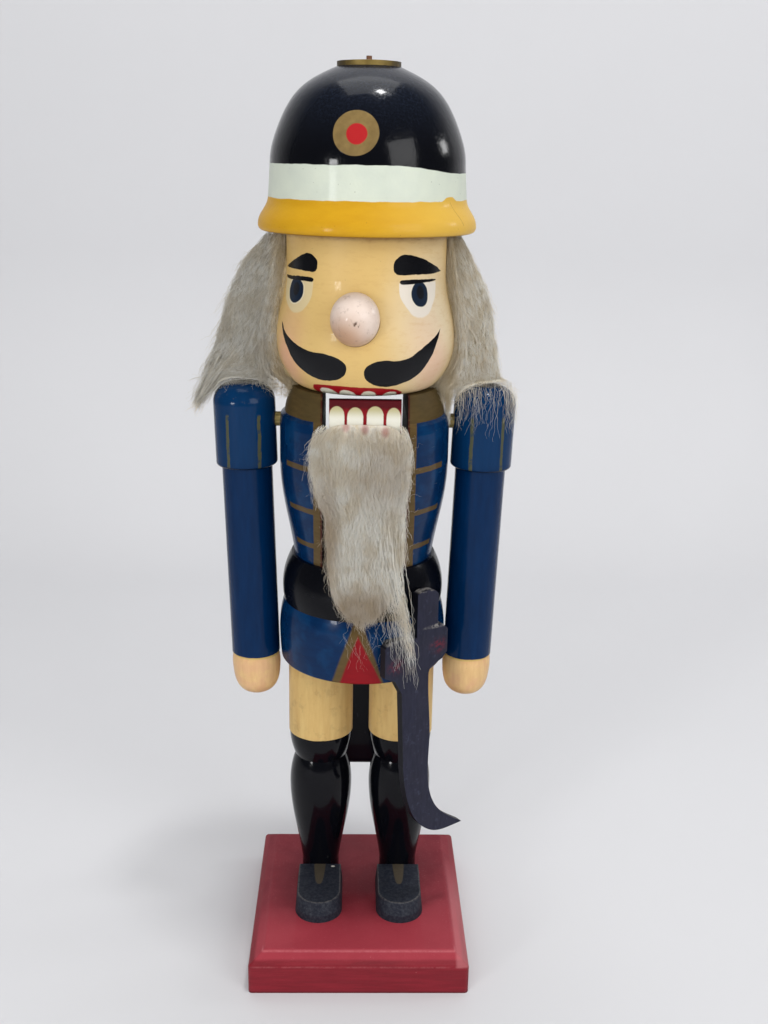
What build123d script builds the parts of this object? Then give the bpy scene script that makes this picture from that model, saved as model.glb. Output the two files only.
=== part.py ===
"""Carved wooden nutcracker: a turned soldier on a block, with a lever jaw and fur hair and beard.

Millimetres. The origin is on the floor, on the axis that the body is turned on. +Z is up, -Y is
the figure's front, and left and right are the viewer's.
"""

import os
from math import cos, radians, sin, sqrt

from build123d import *

os.makedirs("parts", exist_ok=True)

# Base block
base_width = 94.5
base_front = 59.0
base_back = 44.0
base_height = 17.3
base_edge_inset = 6.7
base_edge_drop = 4.3
base_edge_softening = 1.8

# Legs, turned in one piece from ankle to hip, standing a little behind the body's axis
leg_spacing = 36.4
leg_set_back = 7.3
leg_length = 116.2
ankle_radius = 8.6
shin_radius = 11.2
shin_height = 24.0
calf_radius = 14.2
calf_height = 48.7
knee_groove_radius = 11.7
knee_groove_height = 63.0
boot_height = 75.3
trouser_radius = 14.5

# Shoes, flat-backed toes glued to the base in front of the legs
shoe_width = 21.0
shoe_height = 8.3
shoe_reach = 34.6
shoe_top_inset = 0.9
shoe_toe_inset = 3.1
sole_height = 3.2
sole_step = 0.3

# Dowels that hold the legs
leg_dowel_radius = 4.0
leg_dowel_grip = 15.0
base_dowel_grip = 10.0

# Torso, turned in one piece: skirt, belt, jacket and collar
skirt_radius = 36.0
skirt_hem_radius = 35.4
skirt_top_radius = 34.1
skirt_height = 27.2
hem_round = 1.2
belt_radius = 34.5
belt_height = 20.6
waist_radius = 29.5
chest_radius = 35.4
chest_rise = 41.0
chest_height = 61.7
collar_radius = 33.3
collar_step = 0.5
collar_height = 10.6
neck_radius = 29.7

# Slot for the lever, sawn through the torso from front to back
slot_width = 34.0
slot_floor_above_belt = 0.6

# Lever, sawn from one board: jaw in front, handle behind
lever_width = 28.5
jaw_front = 29.2
jaw_thickness = 14.5
jaw_depth = 53.9
jaw_back_drop = 2.8
mouth_gap = 0.4
throat_depth = 21.4
handle_thickness = 11.5
handle_length = 175.5
handle_taper = 2.0
handle_clearance = 0.35
lever_edge_round = 0.8
lever_corner = 3.6
throat_round = 6.0
shoulder_round = 13.0
handle_waist_round = 60.0
pivot_y = 3.0
pivot_above_floor = 32.4
pin_radius = 2.0
pin_cover = 1.5
pin_clearance = 0.08

# Head, turned, closed below by the torso's collar and above by the helmet
head_foot_radius = 25.6
jowl_radius = 31.6
jowl_height = 4.6
cheek_radius = 36.5
cheek_height = 20.0
temple_radius = 32.4
temple_height = 45.0
head_height = 61.9
head_turn = 7.1
neck_dowel_radius = 2.5
neck_dowel_grip = 12.0

# Nose, an egg-shaped knob on a tenon
nose_radius = 9.5
nose_half_height = 10.25
nose_height = 31.3
nose_reach = 45.25
nose_seat = 33.6
nose_seat_clearance = 0.15
nose_tenon_radius = 3.0
nose_tenon_length = 12.0

# Helmet, turned
brim_radius = 43.4
brim_edge_round = 2.2
brim_height = 12.8
band_radius = 39.3
band_height = 12.7
dome_radius = 38.5
dome_shoulder_radius = 36.0
dome_shoulder_height = 12.0
dome_crown_radius = 29.4
dome_crown_height = 24.8
dome_crown_slope = 0.42
dome_height = 36.0
crown_radius = 12.4
crown_edge = 1.8
crown_height = 2.4
crown_peg_radius = 1.1
crown_peg_height = 1.6
crown_peg_grip = 8.0
helmet_dowel_radius = 5.0
helmet_dowel_grip = 14.0

# Arms, turned in one piece from shoulder cap to hand, and leaning in towards the hands
shoulder_reach = 49.9
shoulder_below_collar = 15.1
arm_lean = 1.75
arm_length = 139.6
cap_above_dowel = 15.4
cap_radius = 12.9
cap_round = 8.0
cap_lip = 1.4
cap_height = 34.8
sleeve_radius = 10.6
cuff_radius = 10.5
hand_radius = 10.4
hand_length = 19.8
hand_groove = 0.5
arm_dowel_radius = 3.0
arm_dowel_grip = 13.0
arm_dowel_inner = 21.5
arm_dowel_clearance = 0.06

# Sword, a flat cut-out that lies against the skirt. Its outline is measured from its peg
sword_angle = 34.0
sword_above_hem = 13.0
sword_thickness = 3.7
grip_left = 0.5
grip_right = 11.2
grip_top = 26.2
grip_crown = 1.0
grip_corner = 1.4
guard_right = 16.6
guard_right_top = 10.6
guard_right_foot = -5.0
guard_left = -15.4
guard_left_top = 8.4
guard_left_foot = -7.4
guard_corner = 2.6
blade_top = -16.6
blade_right = 7.1
blade_left = -6.6
blade_back_points = ((8.6, -39.6), (8.3, -59.0), (14.0, -76.3))
blade_tip = (28.2, -88.0)
blade_edge_points = ((12.8, -87.4), (1.2, -76.8), (-4.9, -52.7))
peg_radius = 1.5
peg_grip = 12.0

# Fur: hair round the head and the beard on the jaw, as plain solids of their outer shape
hair_front = 12.0
hair_gap_above_arms = 0.6
hair_inner = 26.0
# Each level of a side pad: its share of the height, how far it stands out from the cheek, its depth
side_pad_levels = {
    "left": ((0.0, 29.5, 34.0), (0.22, 25.2, 36.0), (0.52, 20.7, 36.0), (0.8, 14.0, 33.0), (1.0, 5.0, 27.0)),
    "right": ((0.0, 19.0, 32.0), (0.22, 16.9, 36.0), (0.45, 15.1, 36.0), (0.75, 10.0, 33.0), (1.0, 3.0, 27.0)),
}
# Each level of the back pad: its share of the height, how far it stands out sideways and behind
back_pad_levels = ((0.0, 5.5, 11.5), (0.4, 5.5, 13.5), (1.0, -1.5, 4.5))
beard_top = 11.4
beard_width = 39.5
beard_tip_width = 20.0
beard_sweep = 4.0
beard_left_tuck = 3.0
beard_right_tuck = 2.0
beard_length = 82.0
beard_thickness = 8.5
beard_clearance = 0.4
beard_belt_room = 2.0

# Heights that follow from the stack of pieces
skirt_hem = base_height + leg_length
belt_top = skirt_hem + skirt_height + belt_height
collar_foot = belt_top + chest_height
torso_top = collar_foot + collar_height
slot_floor = belt_top + slot_floor_above_belt
pivot_z = slot_floor + pivot_above_floor
helmet_foot = torso_top + head_height
dome_foot = helmet_foot + brim_height + band_height
helmet_top = dome_foot + dome_height
shoulder_z = torso_top - shoulder_below_collar
nose_z = torso_top + nose_height
sword_z = skirt_hem + sword_above_hem
sides = (("left", -1), ("right", 1))


def place_of(point, direction):
    """A plane at a point, facing a level direction, with its local Y axis up."""
    return Plane(origin=point, x_dir=Vector(-direction.Y, direction.X, 0), z_dir=direction)


# Base: a sawn block with a soft bevel round its top and rounded corners
base_centre_y = (base_back - base_front) / 2
with BuildPart() as base:
    with BuildSketch():
        with Locations((0, base_centre_y)):
            Rectangle(base_width, base_front + base_back)
    extrude(amount=base_height)
    base_rim = base.faces().sort_by(Axis.Z)[-1]
    chamfer(base_rim.edges(), length=base_edge_inset, length2=base_edge_drop, reference=base_rim)
    soft_edges = [edge for edge in base.edges() if edge.center().Z > base_edge_drop]
    fillet(soft_edges, radius=base_edge_softening)
    with BuildSketch(Plane.XY.offset(base_height)):
        with Locations((0, leg_set_back)), GridLocations(leg_spacing, 0, 2, 1):
            Circle(leg_dowel_radius)
    extrude(amount=-base_dowel_grip, mode=Mode.SUBTRACT)
base.part.label = "base"
export_step(base.part, "parts/base.step")

# Shoes: a round-toed sole and an upper that slopes in to a flat top, mostly at the toe
shoe_back = ankle_radius - leg_set_back
for name, side in sides:
    with BuildPart() as shoe:
        for level, half_width, reach in (
            (base_height, shoe_width / 2, shoe_reach),
            (base_height + sole_height, shoe_width / 2 - sole_step, shoe_reach - sole_step),
            (base_height + shoe_height, shoe_width / 2 - shoe_top_inset, shoe_reach - shoe_toe_inset),
        ):
            ball_y = half_width - reach
            with BuildSketch(Plane((side * leg_spacing / 2, 0, level))):
                with BuildLine():
                    left_edge = Line((-half_width, -shoe_back), (-half_width, ball_y))
                    toe = ThreePointArc(left_edge @ 1, (0, -reach), (half_width, ball_y))
                    Polyline(toe @ 1, (half_width, -shoe_back), (-half_width, -shoe_back))
                make_face()
        loft(ruled=True)
    shoe.part.label = f"shoe_{name}"
    export_step(shoe.part, f"parts/shoe_{name}.step")

# Legs: ankle, calf, knee groove, boot top and trousers, bored at both ends
for name, side in sides:
    leg_place = (side * leg_spacing / 2, leg_set_back)
    leg_plane = Plane(origin=(*leg_place, base_height), x_dir=(1, 0, 0), z_dir=(0, -1, 0))
    leg_axis = Axis(leg_plane.origin, (0, 0, 1))
    with BuildPart() as leg:
        with BuildSketch(leg_plane):
            with BuildLine():
                ankle = Polyline((0, 0), (ankle_radius, 0), (ankle_radius, shoe_height))
                shin = Spline(
                    ankle @ 1,
                    (shin_radius, shin_height),
                    (calf_radius, calf_height),
                    tangents=((0.12, 1), (0, 1)),
                )
                calf = TangentArc(shin @ 1, (knee_groove_radius, knee_groove_height), tangent=(0, 1))
                TangentArc((calf_radius, boot_height), calf @ 1, tangent=(0, -1))
                Polyline(
                    (calf_radius, boot_height),
                    (trouser_radius, boot_height),
                    (trouser_radius, leg_length),
                    (0, leg_length),
                    (0, 0),
                )
            make_face()
        revolve(axis=leg_axis)
        with BuildSketch(Plane.XY.offset(base_height)):
            with Locations(leg_place):
                Circle(leg_dowel_radius)
        extrude(amount=leg_dowel_grip, mode=Mode.SUBTRACT)
        with BuildSketch(Plane.XY.offset(skirt_hem)):
            with Locations(leg_place):
                Circle(leg_dowel_radius)
        extrude(amount=-leg_dowel_grip, mode=Mode.SUBTRACT)
    leg.part.label = f"leg_{name}"
    export_step(leg.part, f"parts/leg_{name}.step")

# Dowels: from the base into the boots, and from the trousers into the skirt
with BuildPart() as leg_dowels_lower:
    with BuildSketch(Plane.XY.offset(base_height - base_dowel_grip)):
        with Locations((0, leg_set_back)), GridLocations(leg_spacing, 0, 2, 1):
            Circle(leg_dowel_radius)
    extrude(amount=base_dowel_grip + leg_dowel_grip)
leg_dowels_lower.part.label = "leg_dowels_lower"
export_step(leg_dowels_lower.part, "parts/leg_dowels_lower.step")

with BuildPart() as leg_dowels_upper:
    with BuildSketch(Plane.XY.offset(skirt_hem - leg_dowel_grip)):
        with Locations((0, leg_set_back)), GridLocations(leg_spacing, 0, 2, 1):
            Circle(leg_dowel_radius)
    extrude(amount=2 * leg_dowel_grip)
leg_dowels_upper.part.label = "leg_dowels_upper"
export_step(leg_dowels_upper.part, "parts/leg_dowels_upper.step")

# Torso blank: the whole turned outline, as it leaves the lathe
turning_plane = Plane(origin=(0, 0, 0), x_dir=(1, 0, 0), z_dir=(0, -1, 0))
with BuildPart() as torso_blank:
    with BuildSketch(turning_plane):
        with BuildLine():
            belt_foot = skirt_hem + skirt_height
            skirt_middle = (skirt_radius, skirt_hem + skirt_height / 2)
            hem = Line((0, skirt_hem), (skirt_hem_radius - hem_round, skirt_hem))
            hem_edge = TangentArc(hem @ 1, (skirt_hem_radius, skirt_hem + hem_round), tangent=(1, 0))
            TangentArc(skirt_middle, hem_edge @ 1, tangent=(0, -1))
            skirt_side = TangentArc(skirt_middle, (skirt_top_radius, belt_foot), tangent=(0, 1))
            belt_side = ThreePointArc(
                skirt_side @ 1,
                (belt_radius, belt_foot + belt_height * 0.4),
                (waist_radius + hem_round, belt_top),
            )
            waist = Line(belt_side @ 1, (waist_radius, belt_top))
            chest = Spline(
                waist @ 1,
                (chest_radius, belt_top + chest_rise),
                tangents=((0.12, 1), (0, 1)),
            )
            jacket_edge = Polyline(
                chest @ 1,
                (chest_radius, collar_foot - 4 * hem_round),
                (chest_radius - collar_step, collar_foot - hem_round),
                (collar_radius, collar_foot),
            )
            ThreePointArc(
                jacket_edge @ 1,
                ((collar_radius + neck_radius) / 2 + hem_round / 2, collar_foot + collar_height / 2),
                (neck_radius, torso_top),
            )
            Polyline((neck_radius, torso_top), (0, torso_top), (0, skirt_hem))
        make_face()
    revolve(axis=Axis.Z)

# Torso: the blank with its slot, pin hole and dowel holes
sword_out = Vector(sin(radians(sword_angle)), -cos(radians(sword_angle)), 0)
sword_plane = place_of(sword_out * skirt_radius + Vector(0, 0, sword_z), sword_out)
neck_dowel_x = (slot_width / 2 + head_foot_radius) / 2
pin_half_length = sqrt(chest_radius**2 - pivot_y**2) - pin_cover
with BuildPart() as torso:
    add(torso_blank.part)
    with BuildSketch(Plane.XY.offset(slot_floor)):
        Rectangle(slot_width, 3 * chest_radius)
    extrude(until=Until.LAST, mode=Mode.SUBTRACT)
    with BuildSketch(Plane.YZ.offset(-pin_half_length)):
        with Locations((pivot_y, pivot_z)):
            Circle(pin_radius)
    extrude(amount=2 * pin_half_length, mode=Mode.SUBTRACT)
    with BuildSketch(Plane.YZ.offset(arm_dowel_inner)):
        with Locations((0, shoulder_z)):
            Circle(arm_dowel_radius)
    extrude(amount=chest_radius, mode=Mode.SUBTRACT)
    with BuildSketch(Plane.YZ.offset(-arm_dowel_inner)):
        with Locations((0, shoulder_z)):
            Circle(arm_dowel_radius)
    extrude(amount=-chest_radius, mode=Mode.SUBTRACT)
    with BuildSketch(Plane.XY.offset(skirt_hem)):
        with Locations((0, leg_set_back)), GridLocations(leg_spacing, 0, 2, 1):
            Circle(leg_dowel_radius)
    extrude(amount=leg_dowel_grip, mode=Mode.SUBTRACT)
    with BuildSketch(Plane.XY.offset(torso_top)):
        with GridLocations(2 * neck_dowel_x, 0, 2, 1):
            Circle(neck_dowel_radius)
    extrude(amount=-neck_dowel_grip, mode=Mode.SUBTRACT)
    with BuildSketch(sword_plane):
        Circle(peg_radius)
    extrude(amount=-peg_grip, mode=Mode.SUBTRACT)
torso.part.label = "torso"
export_step(torso.part, "parts/torso.step")

with BuildPart() as pivot_pin:
    with BuildSketch(Plane.YZ.offset(-pin_half_length)):
        with Locations((pivot_y, pivot_z)):
            Circle(pin_radius)
    extrude(amount=2 * pin_half_length)
pivot_pin.part.label = "pivot_pin"
export_step(pivot_pin.part, "parts/pivot_pin.step")

# Lever: one outline sawn from a board, bored for the pin. The handle's front rests near the skirt
mouth_z = torso_top - mouth_gap
jaw_foot = mouth_z - jaw_depth
lever_top = mouth_z - throat_depth
handle_front = skirt_radius + handle_clearance
handle_foot = lever_top - handle_length
handle_waist = lever_top - handle_length / 2
lever_outline = [
    (-jaw_front, mouth_z),
    (jaw_thickness - jaw_front, mouth_z - jaw_back_drop),
    (jaw_thickness - jaw_front, lever_top),
    (handle_front + handle_thickness, lever_top),
    (handle_front + handle_thickness, handle_waist),
    (handle_front + handle_thickness - handle_taper, handle_foot),
    (handle_front + handle_taper / 2, handle_foot),
    (handle_front, handle_waist),
    (handle_front, jaw_foot),
    (-jaw_front, jaw_foot),
]
lever_rounds = [
    lever_edge_round,
    lever_corner,
    throat_round,
    shoulder_round,
    handle_waist_round,
    lever_corner,
    lever_corner,
    handle_waist_round,
    throat_round,
    throat_round,
]
with BuildPart() as lever:
    with BuildSketch(Plane.YZ.offset(-lever_width / 2)) as lever_face:
        with BuildLine():
            Polyline(*lever_outline, close=True)
        make_face()
        for corner, radius in zip(lever_outline, lever_rounds):
            fillet(lever_face.vertices().sort_by_distance(corner)[0], radius=radius)
        with Locations((pivot_y, pivot_z)):
            Circle(pin_radius + pin_clearance, mode=Mode.SUBTRACT)
    extrude(amount=lever_width)
lever.part.label = "lever"
export_step(lever.part, "parts/lever.step")

# Head: turned face with a flat foot, spot-faced for the nose and bored for its dowels
with BuildPart() as head_blank:
    with BuildSketch(turning_plane):
        with BuildLine():
            foot = Line((0, torso_top), (head_foot_radius, torso_top))
            jowl = Spline(
                foot @ 1,
                (jowl_radius, torso_top + jowl_height),
                (cheek_radius, torso_top + cheek_height),
                tangents=((1, 0.25), (0, 1)),
            )
            cheek = Spline(
                jowl @ 1,
                (temple_radius, torso_top + temple_height),
                tangents=((0, 1), (-0.05, 1)),
            )
            Polyline(cheek @ 1, (temple_radius, helmet_foot), (0, helmet_foot), (0, torso_top))
        make_face()
    revolve(axis=Axis.Z)

face_out = Vector(-sin(radians(head_turn)), -cos(radians(head_turn)), 0)
nose_plane = place_of(face_out * nose_seat + Vector(0, 0, nose_z), face_out)
with BuildPart() as head:
    add(head_blank.part)
    with BuildSketch(nose_plane):
        Ellipse(nose_radius + nose_seat_clearance, nose_half_height + nose_seat_clearance)
    extrude(amount=nose_radius, mode=Mode.SUBTRACT)
    with BuildSketch(nose_plane):
        Circle(nose_tenon_radius)
    extrude(amount=-nose_tenon_length, mode=Mode.SUBTRACT)
    with BuildSketch(Plane.XY.offset(torso_top)):
        with GridLocations(2 * neck_dowel_x, 0, 2, 1):
            Circle(neck_dowel_radius)
    extrude(amount=neck_dowel_grip, mode=Mode.SUBTRACT)
    with BuildSketch(Plane.XY.offset(helmet_foot)):
        Circle(helmet_dowel_radius)
    extrude(amount=-helmet_dowel_grip, mode=Mode.SUBTRACT)
head.part.label = "head"
export_step(head.part, "parts/head.step")

with BuildPart() as neck_dowels:
    with BuildSketch(Plane.XY.offset(torso_top - neck_dowel_grip)):
        with GridLocations(2 * neck_dowel_x, 0, 2, 1):
            Circle(neck_dowel_radius)
    extrude(amount=2 * neck_dowel_grip)
neck_dowels.part.label = "neck_dowels"
export_step(neck_dowels.part, "parts/neck_dowels.step")

# Nose: an egg cut flat where it seats in the face, with its tenon
with BuildPart() as egg:
    Sphere(nose_radius)
    scale(by=(1, 1, nose_half_height / nose_radius))
with BuildPart() as nose:
    with Locations(face_out * (nose_reach - nose_radius) + Vector(0, 0, nose_z)):
        add(egg.part)
    split(bisect_by=nose_plane, keep=Keep.TOP)
    with BuildSketch(nose_plane):
        Circle(nose_tenon_radius)
    extrude(amount=-nose_tenon_length)
nose.part.label = "nose"
export_step(nose.part, "parts/nose.step")

# Helmet: brim, band and dome, with a flat crown
with BuildPart() as helmet:
    with BuildSketch(turning_plane):
        with BuildLine():
            helmet_base = Line((0, helmet_foot), (brim_radius - brim_edge_round, helmet_foot))
            brim_edge = TangentArc(
                helmet_base @ 1,
                (brim_radius, helmet_foot + brim_edge_round),
                tangent=(1, 0),
            )
            brim_side = Spline(
                brim_edge @ 1,
                (band_radius, helmet_foot + brim_height),
                tangents=((0, 1), (-0.1, 1)),
            )
            band = Line(brim_side @ 1, (dome_radius, dome_foot))
            Spline(
                band @ 1,
                (dome_shoulder_radius, dome_foot + dome_shoulder_height),
                (dome_crown_radius, dome_foot + dome_crown_height),
                (crown_radius, helmet_top),
                tangents=((0, 1), (-1, dome_crown_slope)),
            )
            Polyline((crown_radius, helmet_top), (0, helmet_top), (0, helmet_foot))
        make_face()
    revolve(axis=Axis.Z)
    with BuildSketch(Plane.XY.offset(helmet_foot)):
        Circle(helmet_dowel_radius)
    extrude(amount=helmet_dowel_grip, mode=Mode.SUBTRACT)
    with BuildSketch(Plane.XY.offset(helmet_top)):
        Circle(crown_peg_radius)
    extrude(amount=-crown_peg_grip, mode=Mode.SUBTRACT)
helmet.part.label = "helmet"
export_step(helmet.part, "parts/helmet.step")

with BuildPart() as helmet_dowel:
    with BuildSketch(Plane.XY.offset(helmet_foot - helmet_dowel_grip)):
        Circle(helmet_dowel_radius)
    extrude(amount=2 * helmet_dowel_grip)
helmet_dowel.part.label = "helmet_dowel"
export_step(helmet_dowel.part, "parts/helmet_dowel.step")

# Crown disc, slightly domed, with a hole for its peg, and the peg's broken end above it
with BuildPart() as crown_disc:
    with BuildSketch(turning_plane):
        with BuildLine():
            rim = Polyline(
                (crown_peg_radius, helmet_top),
                (crown_radius, helmet_top),
                (crown_radius, helmet_top + crown_edge),
            )
            dome_arc = ThreePointArc(
                rim @ 1,
                (crown_radius * 0.6, helmet_top + crown_edge + (crown_height - crown_edge) * 0.7),
                (crown_peg_radius, helmet_top + crown_height),
            )
            Line(dome_arc @ 1, rim @ 0)
        make_face()
    revolve(axis=Axis.Z)
crown_disc.part.label = "crown_disc"
export_step(crown_disc.part, "parts/crown_disc.step")

with BuildPart() as crown_peg:
    with BuildSketch(Plane.XY.offset(helmet_top - crown_peg_grip)):
        Circle(crown_peg_radius)
    extrude(amount=crown_peg_grip + crown_height + crown_peg_height)
crown_peg.part.label = "crown_peg"
export_step(crown_peg.part, "parts/crown_peg.step")

# Arms: shoulder cap, sleeve and hand turned on an axis that leans in, bored level for the dowel
arm_dowel_end = shoulder_reach - cap_radius + arm_dowel_grip
for name, side in sides:
    lean = radians(arm_lean)
    arm_plane = Plane(
        origin=(side * shoulder_reach, 0, shoulder_z),
        x_dir=(cos(lean), 0, -side * sin(lean)),
        z_dir=(0, -1, 0),
    )
    cap_foot = cap_above_dowel - cap_height
    arm_foot = cap_above_dowel - arm_length
    wrist = arm_foot + hand_length
    with BuildPart() as arm:
        with BuildSketch(arm_plane):
            with BuildLine():
                cap_top = Line((0, cap_above_dowel), (cap_radius - cap_round, cap_above_dowel))
                cap_edge = TangentArc(
                    cap_top @ 1, (cap_radius, cap_above_dowel - cap_round), tangent=(1, 0)
                )
                cap_side = Line(cap_edge @ 1, (cap_radius, cap_foot + cap_lip))
                lip = TangentArc(cap_side @ 1, (cap_radius - cap_lip, cap_foot), tangent=(0, -1))
                sleeve = Polyline(
                    lip @ 1,
                    (sleeve_radius, cap_foot),
                    (cuff_radius, wrist),
                    (hand_radius - hand_groove, wrist),
                )
                Spline(
                    sleeve @ 1,
                    (hand_radius, wrist - hand_length * 0.4),
                    (0, arm_foot),
                    tangents=((0.3, -1), (-1, 0)),
                )
                Line((0, arm_foot), (0, cap_above_dowel))
            make_face()
        revolve(axis=Axis(arm_plane.origin, arm_plane.y_dir))
        with BuildSketch(Plane.YZ):
            with Locations((0, shoulder_z)):
                Circle(arm_dowel_radius + arm_dowel_clearance)
        extrude(amount=side * (arm_dowel_end + arm_dowel_clearance), mode=Mode.SUBTRACT)
    arm.part.label = f"arm_{name}"
    export_step(arm.part, f"parts/arm_{name}.step")

    with BuildPart() as arm_dowel:
        with BuildSketch(Plane.YZ.offset(side * arm_dowel_inner)):
            with Locations((0, shoulder_z)):
                Circle(arm_dowel_radius)
        extrude(amount=side * (arm_dowel_end - arm_dowel_inner))
    arm_dowel.part.label = f"arm_dowel_{name}"
    export_step(arm_dowel.part, f"parts/arm_dowel_{name}.step")

# Sword: grip, guard and curved blade, sawn from thin board
with BuildPart() as sword:
    with BuildSketch(sword_plane):
        with BuildLine():
            grip_end = ThreePointArc(
                (grip_left, grip_top),
                ((grip_left + grip_right) / 2, grip_top + grip_crown),
                (grip_right - grip_corner, grip_top),
            )
            right_guard = Polyline(
                grip_end @ 1,
                (grip_right, grip_top - grip_corner),
                (grip_right, guard_right_top),
                (guard_right - guard_corner, guard_right_top),
                (guard_right, guard_right_top - guard_corner),
                (guard_right, guard_right_foot + guard_corner),
                (guard_right - guard_corner, guard_right_foot),
            )
            throat = Spline(
                right_guard @ 1,
                (blade_right + guard_corner / 2, guard_right_foot - guard_corner),
                (blade_right, blade_top),
                tangents=((-1, -0.5), (0, -1)),
            )
            blade_back = Spline(
                throat @ 1,
                *blade_back_points,
                blade_tip,
                tangents=((0.05, -1), (1, -0.7)),
            )
            blade_edge = Spline(
                blade_back @ 1,
                *blade_edge_points,
                (blade_left, blade_top),
                tangents=((-1, -0.03), (-0.05, 1)),
            )
            Polyline(
                blade_edge @ 1,
                (guard_left + 2 * guard_corner, guard_left_foot - guard_corner),
                (guard_left, guard_left_foot),
                (guard_left, guard_left_top - guard_corner),
                (guard_left + guard_corner, guard_left_top),
                (grip_left, guard_left_top - guard_corner / 2),
                grip_end @ 0,
            )
        make_face()
    extrude(amount=sword_thickness)
    with BuildSketch(sword_plane):
        Circle(peg_radius)
    extrude(amount=sword_thickness, mode=Mode.SUBTRACT)
sword.part.label = "sword"
export_step(sword.part, "parts/sword.step")

with BuildPart() as sword_peg:
    with BuildSketch(sword_plane.offset(sword_thickness)):
        Circle(peg_radius)
    extrude(amount=-(sword_thickness + peg_grip))
sword_peg.part.label = "sword_peg"
export_step(sword_peg.part, "parts/sword_peg.step")

# Hair: side pads that widen downwards over the shoulders, and a pad behind, glued to the head
arm_sweep = sqrt((cap_radius - cap_round) ** 2 + (cap_above_dowel - cap_round) ** 2) + cap_round
hair_foot = shoulder_z + arm_sweep + hair_gap_above_arms
hair_top = helmet_foot - hair_gap_above_arms
hair_height = hair_top - hair_foot
pads = []
for name, side in sides:
    with BuildPart() as hair:
        for level, beyond_cheek, depth in side_pad_levels[name]:
            reach = cheek_radius + beyond_cheek
            with BuildSketch(Plane.XY.offset(hair_foot + level * hair_height)):
                with Locations((side * (reach + hair_inner) / 2, depth / 2 - hair_front)):
                    Ellipse((reach - hair_inner) / 2, depth / 2)
        loft()
        add(head_blank.part, mode=Mode.SUBTRACT)
    pads.append(hair.part)
    hair.part.label = f"hair_{name}"
    export_step(hair.part, f"parts/hair_{name}.step")

with BuildPart() as hair_back:
    for level, beyond_sides, beyond_back in back_pad_levels:
        reach = cheek_radius + beyond_back
        with BuildSketch(Plane.XY.offset(hair_foot + level * hair_height)):
            with Locations((0, (reach + hair_front) / 2)):
                Ellipse(cheek_radius + beyond_sides, (reach - hair_front) / 2)
    loft()
    add(head_blank.part, mode=Mode.SUBTRACT)
    for pad in pads:
        add(pad, mode=Mode.SUBTRACT)
hair_back.part.label = "hair_back"
export_step(hair_back.part, "parts/hair_back.step")

# Beard: glued to the jaw, hanging in front of the slot, belt and skirt
beard_head = mouth_z - beard_top
beard_foot = beard_head - beard_length
with BuildPart() as torso_space:
    with BuildSketch(turning_plane):
        with BuildLine():
            Polyline(
                (0, skirt_hem),
                (skirt_radius + beard_clearance, skirt_hem),
                (skirt_radius + beard_clearance, slot_floor - belt_height / 2),
                (waist_radius + hem_round + beard_belt_room, slot_floor),
                (chest_radius + beard_clearance, belt_top + chest_rise),
                (chest_radius + beard_clearance, torso_top),
                (0, torso_top),
                close=True,
            )
        make_face()
    revolve(axis=Axis.Z)
    with BuildSketch(Plane.XY.offset(slot_floor + beard_clearance)):
        Rectangle(slot_width - 2 * beard_clearance, 3 * skirt_radius)
    extrude(until=Until.LAST, mode=Mode.SUBTRACT)

with BuildPart() as beard:
    with BuildSketch(Plane.YZ):
        with BuildLine():
            beard_front = Spline(
                (-jaw_front - beard_thickness * 0.5, beard_head),
                (-jaw_front - beard_thickness, beard_head - beard_length * 0.3),
                (-skirt_radius - beard_thickness * 0.5, beard_foot),
            )
            Polyline(
                beard_front @ 1,
                (-skirt_radius - beard_clearance, beard_foot),
                (-jaw_front, slot_floor),
                (-jaw_front, beard_head),
                beard_front @ 0,
            )
        make_face()
    extrude(amount=beard_width, both=True)
    with BuildSketch(Plane.XZ):
        with BuildLine():
            beard_left = Spline(
                (-beard_width / 2, beard_head),
                (-beard_width / 2 + beard_left_tuck, beard_head - beard_length * 0.5),
                (-beard_tip_width / 2, beard_foot),
            )
            beard_right = Spline(
                (beard_tip_width / 2 + beard_sweep, beard_foot),
                (beard_width / 2 - beard_right_tuck / 2, beard_head - beard_length * 0.5),
                (beard_width / 2 - beard_right_tuck, beard_head),
            )
            Line(beard_left @ 1, beard_right @ 0)
            Line(beard_right @ 1, beard_left @ 0)
        make_face()
    extrude(amount=2 * skirt_radius, both=True, mode=Mode.INTERSECT)
    add(torso_space.part, mode=Mode.SUBTRACT)
beard.part.label = "beard"
export_step(beard.part, "parts/beard.step")
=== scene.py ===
"""Paints and dresses a turned wooden nutcracker: painted face and uniform, fur hair and beard.

Left and right are the viewer's. The figure faces -Y. Shader maths is in millimetres and degrees.
"""

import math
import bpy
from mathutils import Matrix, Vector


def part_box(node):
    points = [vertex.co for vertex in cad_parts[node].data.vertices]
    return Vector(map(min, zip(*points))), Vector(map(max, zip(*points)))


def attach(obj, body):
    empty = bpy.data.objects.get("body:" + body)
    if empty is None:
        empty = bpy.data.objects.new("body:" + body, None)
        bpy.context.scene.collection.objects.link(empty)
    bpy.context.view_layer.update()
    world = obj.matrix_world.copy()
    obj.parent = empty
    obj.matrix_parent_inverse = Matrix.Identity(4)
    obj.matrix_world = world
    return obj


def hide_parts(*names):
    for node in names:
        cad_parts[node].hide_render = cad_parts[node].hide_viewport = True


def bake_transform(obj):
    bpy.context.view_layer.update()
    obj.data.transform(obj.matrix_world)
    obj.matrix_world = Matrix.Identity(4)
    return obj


bl_info = {
    "name": "Wooden Nutcracker",
    "version": (1, 0, 0),
    "blender": (4, 5, 0),
    "location": "View3D > Sidebar > Nutcracker",
    "description": "Paints a turned wooden nutcracker figure and gives it fur hair and a beard",
    "category": "Object",
}

import bmesh
import bpy
import numpy as np
from mathutils import Matrix, Vector, noise

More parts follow.
